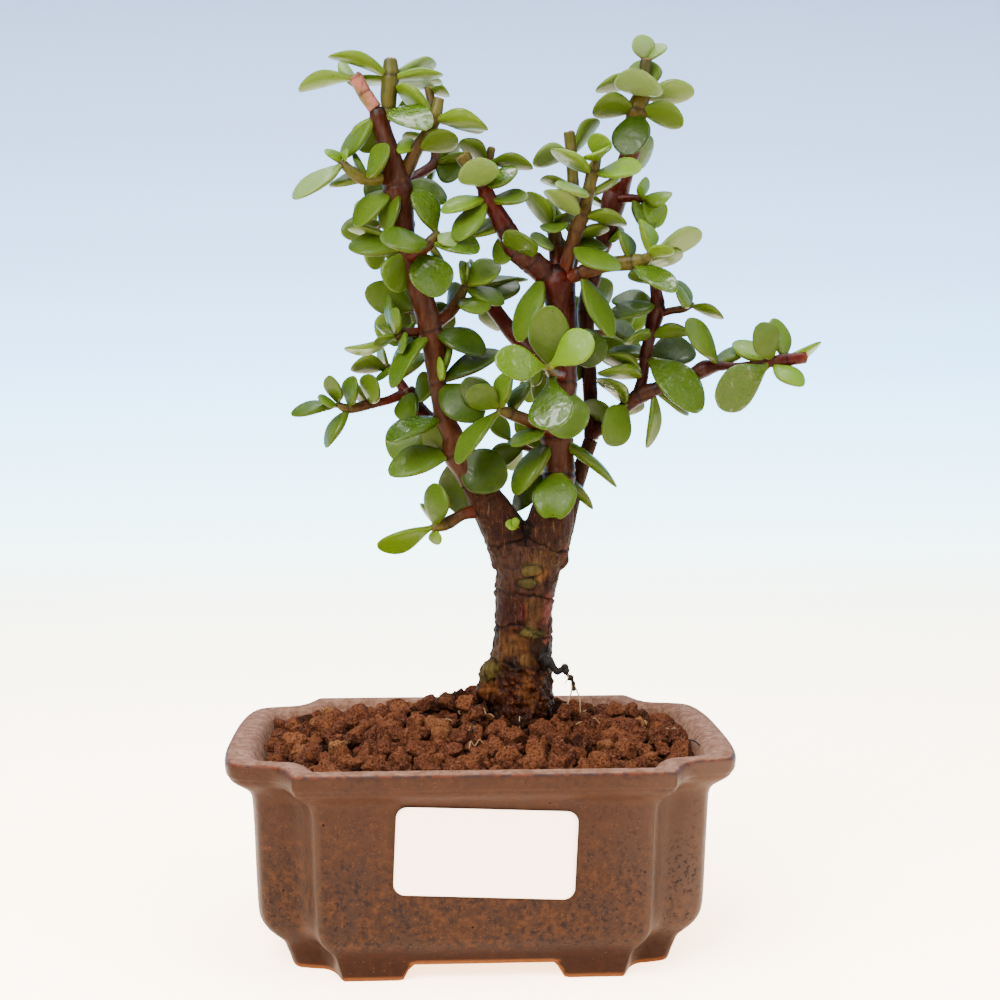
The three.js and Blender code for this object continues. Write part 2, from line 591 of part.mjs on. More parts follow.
// The paper is turned a little and bends with the panel behind it.
function labelSolid() {
  const { height, cornerRadius, thickness, tilt } = label;
  const [across, up] = labelCentre;
  const turn = THREE.MathUtils.degToRad(tilt);
  const corner = [0, 0.2, 1].map((share) => share * cornerRadius);
  const middle = [0.3, 0.5, 0.7].map((share) => share * height);
  const rises = [...corner, ...middle, ...corner.map((rise) => height - rise).reverse()];
  const rings = rises.map((rise) => {
    const half = labelHalfWidth(rise);
    const [left, right] = [-half, half].map((x) => {
      const z = rise - height / 2;
      return [
        across + x * Math.cos(turn) - z * Math.sin(turn), up + x * Math.sin(turn) + z * Math.cos(turn),
      ];
    });
    const at = ([x, z], rise) => vector(x, -panelDepth(z) - labelGap - rise, z);
    return [at(left, thickness), at(right, thickness), at(right, 0), at(left, 0)];
  });
  return solidOf(loft(rings));
}

// A square net with rows of square openings, lying on the floor over a drainage hole.
function screenSolid(x) {
  const { side, thickness, opening, openingsPerSide } = screen;
  const pitch = side / openingsPerSide;
  const middle = (openingsPerSide - 1) / 2;
  const punches = [];
  for (let row = 0; row < openingsPerSide; row += 1) {
    for (let column = 0; column < openingsPerSide; column += 1) {
      const punch = new THREE.BoxGeometry(opening, opening, thickness * 2);
      punches.push(solidOf(punch.translate((column - middle) * pitch, (row - middle) * pitch, 0)));
    }
  }
  const sheet = solidOf(new THREE.BoxGeometry(side, side, thickness));
  const net = geometryOf(sheet.subtract(joined(punches)));
  return solidOf(net.translate(x, 0, floorHeight + gap + thickness / 2));
}

// ---- Soil ------------------------------------------------------------------------------------

// The inside of the pot from the floor up, kept clear of the glaze by the gap.
const cavityProfile = [...innerProfile].reverse()
  .map(([height, sideInset, frontInset]) => [height, sideInset + gap, frontInset + gap]);

// Height of the hollows between the grains: a low mound.
function bedHeight(x, y) {
  const reach = Math.hypot((x - moundCentre[0]) / (potLength / 2), (y - moundCentre[1]) / (potDepth / 2));
  const rise = soilCrownHeight - soilEdgeHeight;
  return soilEdgeHeight + rise * Math.max(0, 1 - reach) ** 0.8;
}

const grainShoulder = 0.6; // a grain's top over its foot
const grainDisorder = 0.2; // shift of its corners, as a share of the pitch
const grainCorners = 6;

// The top of the bed is a honeycomb of grains, each an angular lump with a tilted top that stands
// out of the hollows. Its corners are drawn a little out of place, and neighbours share them.
function grainField() {
  const between = draws(2024);
  const columns = Math.ceil(potLength / 2 / grainPitch);
  const rowStep = grainPitch * Math.sqrt(3) / 2;
  const rows = Math.ceil(potDepth / 2 / rowStep);
  const points = [];
  const corners = new Map();
  const edges = new Map();
  const faces = [];
  const addPoint = (x, y, z) => points.push([x, y, z]) - 1;
  const cornerAt = (x, y) => {
    const key = `${Math.round(x * 10)},${Math.round(y * 10)}`;
    if (!corners.has(key)) {
      const shift = grainPitch * grainDisorder;
      const movedX = x + between(-shift, shift);
      const movedY = y + between(-shift, shift);
      corners.set(key, addPoint(movedX, movedY, bedHeight(movedX, movedY) + between(...hollowRise)));
    }
    return corners.get(key);
  };
  for (let row = -rows; row <= rows; row += 1) {
    for (let column = -columns; column <= columns; column += 1) {
      const x = (column + Math.abs(row % 2) / 2) * grainPitch;
      const y = row * rowStep;
      const ring = Array.from({ length: grainCorners }, (_, i) => {
        const turn = (Math.PI * 2 * (i + 0.5)) / grainCorners;
        const radius = grainPitch / Math.sqrt(3);
        return cornerAt(x + radius * Math.cos(turn), y + radius * Math.sin(turn));
      });
      const rise = between(...grainRise);
      const [tiltX, tiltY] = [between(-0.35, 0.35), between(-0.35, 0.35)];
      const top = [0, 2, 4].map((i) => {
        const [x0, y0] = points[ring[i]];
        const [x1, y1] = points[ring[i + 1]];
        const share = grainShoulder * between(0.8, 1.2);
        const dx = ((x0 + x1) / 2 - x) * share;
        const dy = ((y0 + y1) / 2 - y) * share;
        return addPoint(x + dx, y + dy, bedHeight(x, y) + rise + tiltX * dx + tiltY * dy);
      });
      faces.push(top);
      top.forEach((corner, i) => {
        const nextCorner = top[(i + 1) % 3];
        const [left, right] = [ring[2 * i], ring[2 * i + 1]];
        faces.push([left, right, corner], [right, ring[(2 * i + 2) % grainCorners], nextCorner]);
        faces.push([right, nextCorner, corner]);
      });
      for (let i = 0; i < grainCorners; i += 1) {
        const next = (i + 1) % grainCorners;
        const back = `${ring[next]},${ring[i]}`;
        if (edges.has(back)) edges.delete(back);
        else edges.set(`${ring[i]},${ring[next]}`, [ring[i], ring[next]]);
      }
    }
  }
  return { points, faces, border: [...edges.values()] };
}

// The honeycomb closed below by walls under its border and a flat base, lower than the pot's floor.
function grainBlock() {
  const { points, faces, border } = grainField();
  const lowered = new Map();
  const below = (corner) => {
    if (!lowered.has(corner)) {
      const [x, y] = points[corner];
      lowered.set(corner, points.push([x, y, 0]) - 1);
    }
    return lowered.get(corner);
  };
  border.forEach(([from, to]) => {
    faces.push([to, from, below(from)], [to, below(from), below(to)]);
  });
  const centre = points.push([0, 0, 0]) - 1;
  border.forEach(([from, to]) => faces.push([below(to), below(from), centre]));
  const geometry = new THREE.BufferGeometry();
  geometry.setAttribute('position', new THREE.Float32BufferAttribute(points.flat(), 3));
  geometry.setIndex(faces.flat());
  return solidOf(geometry);
}

// The block cut to the pot's inside, with recesses over the screens and a plain hole for the wood.
function soilSolid(wood) {
  const [[, ...floorInsets], ...walls] = cavityProfile;
  const [, ...rimInsets] = cavityProfile[cavityProfile.length - 1];
  const levels = [[floorHeight + gap, ...floorInsets], ...walls, [potHeight * 1.5, ...rimInsets]];
  const cavity = loft(levels.map(ringAt));
  const recess = new THREE.BoxGeometry(
    screen.side + 2 * gap, screen.side + 2 * gap, 2 * (screen.thickness + 2 * gap),
  );
  const recesses = drainHoles.map((x) => solidOf(recess.clone().translate(x, 0, floorHeight)));
  return grainBlock().intersect(solidOf(cavity)).subtract(joined([wood, ...recesses]));
}

// ---- Plant -----------------------------------------------------------------------------------

const jointPlace = ([x, y, z]) => vector(x, y, z);

// The way that a stem runs at one of its joints.
function stemHeading(joints, i) {
  const before = jointPlace(joints[Math.max(i - 1, 0)]);
  const after = jointPlace(joints[Math.min(i + 1, joints.length - 1)]);
  return after.sub(before).normalize();
}

// A stem through its joints. With clearance it is thicker and longer all round.
function stemSolid(joints, sides, clearance = 0) {
  const last = joints.length - 1;
  const reach = jointPlace(joints[last]).sub(jointPlace(joints[0])).normalize();
  const firstSide = Math.abs(reach.y) > 0.7 ? vector(1, 0, 0) : vector(0, 1, 0);
  const rings = joints.map((joint, i) => {
    const heading = stemHeading(joints, i);
    const side = firstSide.clone().addScaledVector(heading, -firstSide.dot(heading)).normalize();
    const other = heading.clone().cross(side);
    const end = (i === last) - (i === 0);
    const centre = jointPlace(joint).addScaledVector(heading, end * clearance);
    const radius = joint[3] + clearance;
    return Array.from({ length: sides }, (_, corner) => {
      const turn = (2 * Math.PI * corner) / sides;
      return centre.clone()
        .addScaledVector(side, radius * Math.cos(turn))
        .addScaledVector(other, radius * Math.sin(turn));
    });
  });
  return solidOf(loft(rings));
}

// Which way a leaf's upper face looks, from its roll about its own length.
function faceFromRoll(base, tip, roll, heading) {
  const along = tip.clone().sub(base).normalize();
  const front = vector(0, -1, 0);
  front.addScaledVector(along, -front.dot(along)).normalize();
  const up = along.clone().cross(front);
  if (up.dot(heading) < 0) up.negate();
  const turn = THREE.MathUtils.degToRad(roll);
  return front.multiplyScalar(Math.cos(turn)).addScaledVector(up, Math.sin(turn));
}

// Sections of a leaf: [share of the length, share of the width, share of the thickness].
const leafSections = [[0, 0.15, 0.8], [0.4, 0.8, 1], [0.76, 0.96, 0.85], [0.98, 0.42, 0.4]];
const smallLeafSections = [[0, 0.15, 0.8], [0.58, 1, 1], [0.96, 0.5, 0.5]];
const smallLeafLength = 10.5;

// An obovate fleshy blade that starts on the stem's axis: flat above, keeled below, arched along.
function leafSolid(base, tip, width, face) {
  const along = tip.clone().sub(base);
  const length = along.length();
  along.normalize();
  const across = along.clone().cross(face);
  const sections = length < smallLeafLength ? smallLeafSections : leafSections;
  const rings = sections.map(([share, widthShare, thicknessShare]) => {
    const centre = base.clone().addScaledVector(along, length * share)
      .addScaledVector(face, leafArch * length * 4 * share * (1 - share));
    const halfWidth = width / 2 * widthShare;
    const thickness = leafThickness * thicknessShare;
    return [
      centre.clone().addScaledVector(across, halfWidth),
      centre.clone().addScaledVector(face, -thickness),
      centre.clone().addScaledVector(across, -halfWidth),
    ];
  });
  return solidOf(loft(rings));
}

const twigSides = 5;
const limbSides = 6;
const limbRadius = 1.9; // stems that reach it have the sides of a limb
const sidesOf = (joints) => (Math.max(...joints.map((joint) => joint[3])) > limbRadius
  ? limbSides : twigSides);

function leafyStem({ joints, leaves }) {
  const blades = leaves.map(([i, x, y, z, width, roll]) => {
    const base = jointPlace(joints[i]);
    const tip = vector(x, y, z);
    return leafSolid(base, tip, width, faceFromRoll(base, tip, roll, stemHeading(joints, i)));
  });
  return joined([stemSolid(joints, sidesOf(joints)), ...blades]);
}

const rearSteps = 3; // stretches of a rear stem
const rearDroop = 0.08; // sag of its tip, as a share of its length

function rearPlace({ start, heading, length }, share) {
  return vector(...start)
    .addScaledVector(vector(...heading).normalize(), length * share)
    .add(vector(0, 0, -length * rearDroop * share ** 2));
}

function rearHeading({ heading }, share) {
  return vector(...heading).normalize().add(vector(0, 0, -2 * rearDroop * share)).normalize();
}

function rearJoints(shoot) {
  const [footRadius, tipRadius] = rearStemRadius;
  return Array.from({ length: rearSteps + 1 }, (_, i) => {
    const share = i / rearSteps;
    const { x, y, z } = rearPlace(shoot, share);
    return [x, y, z, footRadius + (tipRadius - footRadius) * share];
  });
}

// The leaves of one shoot: pairs that stand across from each other, each turned a quarter from
// the pair before. A leaf is { base, tip, width, face }.
function rearLeaves(shoot) {
  const between = draws(shoot.seed);
  const [firstLength, lastLength] = rearLeafLength;
  const leaves = [];
  for (let pair = 1; pair <= shoot.pairs; pair += 1) {
    const share = pair / shoot.pairs;
    const base = rearPlace(shoot, share * 0.98);
    const heading = rearHeading(shoot, share);
    const level = vector(heading.y, -heading.x, 0).normalize();
    [0, 180].forEach((half) => {
      const turn = THREE.MathUtils.degToRad(shoot.turn + 90 * (pair - 1) + half);
      const slant = THREE.MathUtils.degToRad(rearLeafSlant + between(-8, 8));
      const length = (firstLength + (lastLength - firstLength) * share) * between(0.9, 1.1);
      const along = heading.clone().multiplyScalar(Math.cos(slant))
        .addScaledVector(level.clone().applyAxisAngle(heading, turn), Math.sin(slant));
      const face = heading.clone().addScaledVector(along, -heading.dot(along)).normalize();
      const tip = base.clone().addScaledVector(along, length);
      leaves.push({ base, tip, width: length * leafWidthShare, face });
    });
  }
  return leaves;
}

function trunkSolid(clearance = 0) {
  const wood = Object.values(trunkParts)
    .map(({ joints, sides }) => stemSolid(joints, sides, clearance));
  const swellings = barkSwellings.map(([x, y, z, radius]) => solidOf(
    new THREE.IcosahedronGeometry(radius + clearance).translate(x, y, z),
  ));
  return joined([...wood, ...swellings]);
}

// ---- Assembly --------------------------------------------------------------------------------

const bonsai = new THREE.Group();

function add(name, solid, color, roughness) {
  const material = new THREE.MeshStandardMaterial({
    color, roughness, metalness: 0, flatShading: true,
  });
  const mesh = new THREE.Mesh(geometryOf(solid), material);
  mesh.name = name;
  bonsai.add(mesh);
}

add('pot', potSolid(), colours.glaze, 0.35);
add('label', labelSolid(), colours.label, 0.6);
add('drain_screen_left', screenSolid(drainHoles[0]), colours.screen, 0.6);
add('drain_screen_right', screenSolid(drainHoles[1]), colours.screen, 0.6);
add('trunk', trunkSolid(), colours.bark, 0.8);
add('soil', soilSolid(trunkSolid(gap)), colours.soil, 0.95);

// A stem is cut back from the wood that stands before it in the lists, which carries it.
let woodBefore = trunkSolid(gap);
Object.entries(leafyStems).forEach(([name, stem]) => {
  const parts = [stem, ...(stem.branches ?? [])];
  const solid = joined(parts.map(leafyStem)).subtract(woodBefore);
  add(name, solid, colours.leaf, 0.4);
  const wood = parts.map(({ joints }) => stemSolid(joints, sidesOf(joints), gap));
  woodBefore = joined([woodBefore, ...wood]);
});
Object.entries(rearShoots).forEach(([name, shoot]) => {
  const joints = rearJoints(shoot);
  const blades = rearLeaves(shoot).map(({ base, tip, width, face }) => (
    leafSolid(base, tip, width, face)));
  add(name, joined([stemSolid(joints, twigSides), ...blades]).subtract(woodBefore), colours.leaf, 0.4);
  woodBefore = woodBefore.add(stemSolid(joints, twigSides, gap));
});

// The origin is under the middle of the whole object, on the surface that it stands on.
const box = new THREE.Box3().setFromObject(bonsai);
bonsai.position.set(-(box.min.x + box.max.x) / 2, -(box.min.y + box.max.y) / 2, -box.min.z);
bonsai.updateMatrixWorld(true);

export default bonsai;
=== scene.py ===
"""The looks of a dwarf jade bonsai in its glazed pot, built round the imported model.

Sizes in the tables and functions are in millimetres from the middle of the pot's foot, +Z up, with
the plant's front towards -Y. new_piece turns them into metres in the row frame.
"""

import math
import random

import bpy
import numpy as np
from mathutils import Euler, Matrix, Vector


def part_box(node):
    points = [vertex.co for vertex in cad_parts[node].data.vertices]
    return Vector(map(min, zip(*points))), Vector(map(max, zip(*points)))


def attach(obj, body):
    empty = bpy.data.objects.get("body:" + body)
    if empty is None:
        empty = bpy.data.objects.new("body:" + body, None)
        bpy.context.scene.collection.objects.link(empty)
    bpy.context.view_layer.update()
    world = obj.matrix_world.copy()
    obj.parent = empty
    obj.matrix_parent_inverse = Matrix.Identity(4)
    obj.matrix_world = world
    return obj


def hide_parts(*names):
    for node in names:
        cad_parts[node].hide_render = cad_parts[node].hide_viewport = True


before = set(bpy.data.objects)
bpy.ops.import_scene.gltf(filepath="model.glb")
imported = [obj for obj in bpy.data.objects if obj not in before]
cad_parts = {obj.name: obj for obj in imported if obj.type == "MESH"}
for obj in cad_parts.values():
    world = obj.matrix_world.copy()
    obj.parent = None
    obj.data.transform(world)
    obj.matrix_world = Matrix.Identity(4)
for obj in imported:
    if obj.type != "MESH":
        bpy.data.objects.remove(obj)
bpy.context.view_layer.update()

MM = 0.001
pot_low, pot_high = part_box("pot")
POT_CENTRE = np.array([(pot_low.x + pot_high.x) / 2, (pot_low.y + pot_high.y) / 2, pot_low.z])

# ---- Camera, light and floor ------------------------------------------------------------------

CAMERA_PLACE = (-13.2, -357.9, 129.6)
CAMERA_HEADING = (0.0508, 0.9959, -0.0749)
LENS = 55.2
SENSOR = 36.0

# The studio is bright, so the object's colours are held deeper than they look in the picture.
COLOUR_DEPTH = 0.15
BACKDROP_GLOW = 7.0
AMBIENT_COLOUR = "e9edf4"
AMBIENT_STRENGTH = 0.3
LIGHT_AIM = (10, 0, 95)
# Soft lights: name, place, size in metres, watts and tint.
LIGHTS = [
    ("key", (-260, -330, 480), (0.42, 0.42), 20, (1.0, 0.985, 0.96)),
    ("fill", (400, -260, 330), (0.4, 0.5), 7, (0.97, 0.985, 1.0)),
    ("top", (30, 60, 620), (0.6, 0.5), 14, (1.0, 1.0, 1.0)),
]
# The floor's side view as (y, height), from the front to where it bends up, and the backdrop's.
FLOOR_LINE = [(-1500, 0), (-300, 0), (0, 0), (300, 0), (600, 0)]
BACKDROP_LINE = [(1400, 800), (1400, 1200), (1400, 2200)]
BEND_START = 900
BEND_RADIUS = 500
BACKDROP_HALF_WIDTH = 2500.0
WAY_LENGTH = 2500  # along the sweep, from under the pot to where its colours end

# ---- Pot --------------------------------------------------------------------------------------

POT_HALF_LENGTH = 58.0
POT_HALF_DEPTH = 41.0
POT_HEIGHT = 48.0
# A quarter of the outline in shares of the half length and half depth, from the middle of the
# front to the middle of the side: the panel's end, the flute and the side lobe.
PANEL_SHARE = 0.698
FLUTE_AND_LOBE = [
    (0.698, 1), (0.714, 0.957), (0.73, 0.895), (0.752, 0.83), (0.795, 0.768), (0.875, 0.741),
    (0.935, 0.711), (0.966, 0.644), (0.985, 0.513), (0.997, 0.293), (1, 0),
]
OUTLINE_STEP = 0.9
# [height, inset of the sides, inset of the front], up the outside.
OUTER_PROFILE = [
    (0, 14.3, 9.4), (0.5, 14.1, 9.2), (2, 13.6, 9), (3.6, 12.9, 8.9), (4.8, 12.4, 8.75),
    (5.6, 11.9, 8.5), (6.4, 11.1, 8.15), (7.3, 10, 7.6), (8.4, 8.8, 6.95), (9.6, 7.9, 6.3),
    (11, 7.2, 5.8), (13, 6.85, 5.4), (17, 6.6, 5.15), (25, 6.3, 4.9), (33, 6, 4.7), (37.5, 5.75, 4.5),
    (39.3, 5.4, 4.2), (40.6, 4.6, 3.6), (41.7, 3.2, 2.5), (42.7, 1.7, 1.35), (43.5, 0.85, 0.7),
    (44.2, 0.55, 0.45), (44.5, 0.25, 0.2), (45.1, 0.08, 0.06), (46.4, 0, 0), (47.1, 0.1, 0.08),
    (47.6, 0.45, 0.35), (47.9, 1, 0.8),
]
# Over the top of the lip and down inside to the floor.
INNER_PROFILE = [
    (48, 2.6, 2.1), (47.95, 4.8, 3.7), (47.6, 5.9, 4.6), (46.9, 6.6, 5.1), (45.3, 7.4, 5.7),
    (42.5, 8.9, 6.9), (40, 10.3, 7.9), (26, 11.6, 8.9), (12, 13, 10), (9, 14.2, 10.8), (8, 16.5, 12.7),
]
FOOT_INNER_INSETS = (18.3, 13.8)
UNDERSIDE_HEIGHT = 4.4
APRON_HEIGHT = 3.5
FRONT_APRON = (15.5, 18.0)  # the foot's inner end slopes down between these, across the front
SIDE_APRON = (14, 16)  # and along the sides
DRAIN_HOLE_RADIUS = 6.0
DRAIN_HOLE_SPACING = 52.0
CLAY_BAND = 0.9  # bare clay above the lower edge

LABEL_SIZE = (39.0, 19.5)
LABEL_CENTRE = (0.2, 29.6)
LABEL_TILT = -2.5
LABEL_CORNER = 2.5
LABEL_THICKNESS = 0.2
LABEL_GAP = 0.12

NET_SIDE = 20.0
NET_THICKNESS = 0.9
NET_BARS = 9
FLOOR_HEIGHT = 8.0

# ---- Soil -------------------------------------------------------------------------------------

BED_EDGE_HEIGHT = 42.6
BED_CROWN_HEIGHT = 51
MOUND_CENTRE = (0.0, 2.0)
# Granules piled on the others beside the trunk: x, y, z and radius.
PILED_GRAINS = [
    (-10, 1, 54.0, 2.3), (-7.4, -1.5, 55.0, 2.5), (-4.6, 2.4, 55.6, 2.4), (-3.0, -4.4, 55.2, 2.2),
    (-0.8, 4.2, 55.8, 2.4), (-11.9, 5, 53.2, 2.1), (-5.2, 7, 53.6, 2.5), (-1.2, -8, 53.6, 2.0),
    (19.5, -5.8, 53.2, 2.2), (22.6, 0.4, 53.0, 2.3), (33.0, 3.4, 51.8, 2.4), (37.2, 6.6, 51.2, 2.3),
]
TRUNK_FOOT = (10.0, 2.0)
TRUNK_CLEARANCE = 6.2
# Radii of the granules with how many of each are tried in a layer.
GRAIN_SIZES = [(3.3, 60), (2.85, 350), (2.4, 1200), (1.95, 2200), (1.5, 2600), (1.1, 2200)]
GRAIN_CLOSENESS = 0.82
LAYER_DROP = 2.3
GRAIN_FIELD = (51, 35)  # half length and depth of the field in which they are tried
GRAIN_WALL_INSETS = (8.4, 6.6)  # of the pot's inner wall, at its sides and its front
CRUMB_CUTS = 11  # planes that cut a granule
ROOT_FIBRES = 18
# The soil under the granules: [height, inset of the sides, inset of the front], and its top's.
SOIL_SIDES = [(10.2, 17.4, 13.4), (12.5, 13.6, 10.6), (40, 10.9, 8.5)]
SOIL_TOP_INSETS = (10.2, 7.8)

# ---- Plant ------------------------------------------------------------------------------------

LEAF_THICKNESS = 1.9
LEAF_ARCH = 0.06
LEAF_RINGS = 18
LEAF_SIDES = 20
LEAF_TAPER = 1.3  # the higher, the narrower a leaf's foot
STEM_STEP = 0.5
THICK_STEM = 1.9  # a stem that is thicker somewhere has more sides
BARK_VOXEL = 0.32

# The woody parts of the trunk. A joint is [x, y, z, radius], from the foot up.
TRUNK_PARTS = {
    "root_stump": [[10.5, 2, 22, 3.2], [10.5, 2, 31, 5.6], [10.5, 2, 41, 6.6]],
    "stem": [
        [10.5, 2, 40, 6.6], [10, 2, 50, 7.5], [10, 2, 56, 7.7], [10, 2, 62, 7.3],
        [10.5, 2, 69, 6.7], [11, 2, 78.5, 6.9], [12, 2, 87, 7.5], [12.5, 2, 92, 8],
    ],
    "left_base": [[9, 2, 89, 5.9], [6, 1, 95.5, 5.2], [2.5, 0, 101.5, 4.4], [-1.5, -1, 107.5, 3.2]],
    "centre_base": [[14.5, 1, 89.5, 6.1], [16.5, 0, 96.5, 5.6], [18, 0, 102.5, 4.7]],
    "back_base": [[17.5, 4, 90, 4], [21, 6, 98.5, 2.8], [24.5, 8, 108.5, 2], [27.5, 9, 116.5, 1.7]],
    "knob": [[8, 1, 51, 3.4], [4.4, 1, 57, 3.4], [3.8, 1, 61.5, 3.1], [5.8, 1, 65.5, 1.6]],
    "pruning_nub": [[16, 1, 87, 2], [19.6, 0, 88.4, 1.6], [19.9, 0, 91, 1.1]],
    "root_left": [[10, 2, 38, 2.6], [-9, -4, 27, 1.2]],
    "root_right": [[11, 2, 36, 2.6], [29, 8, 26, 1.1]],
}

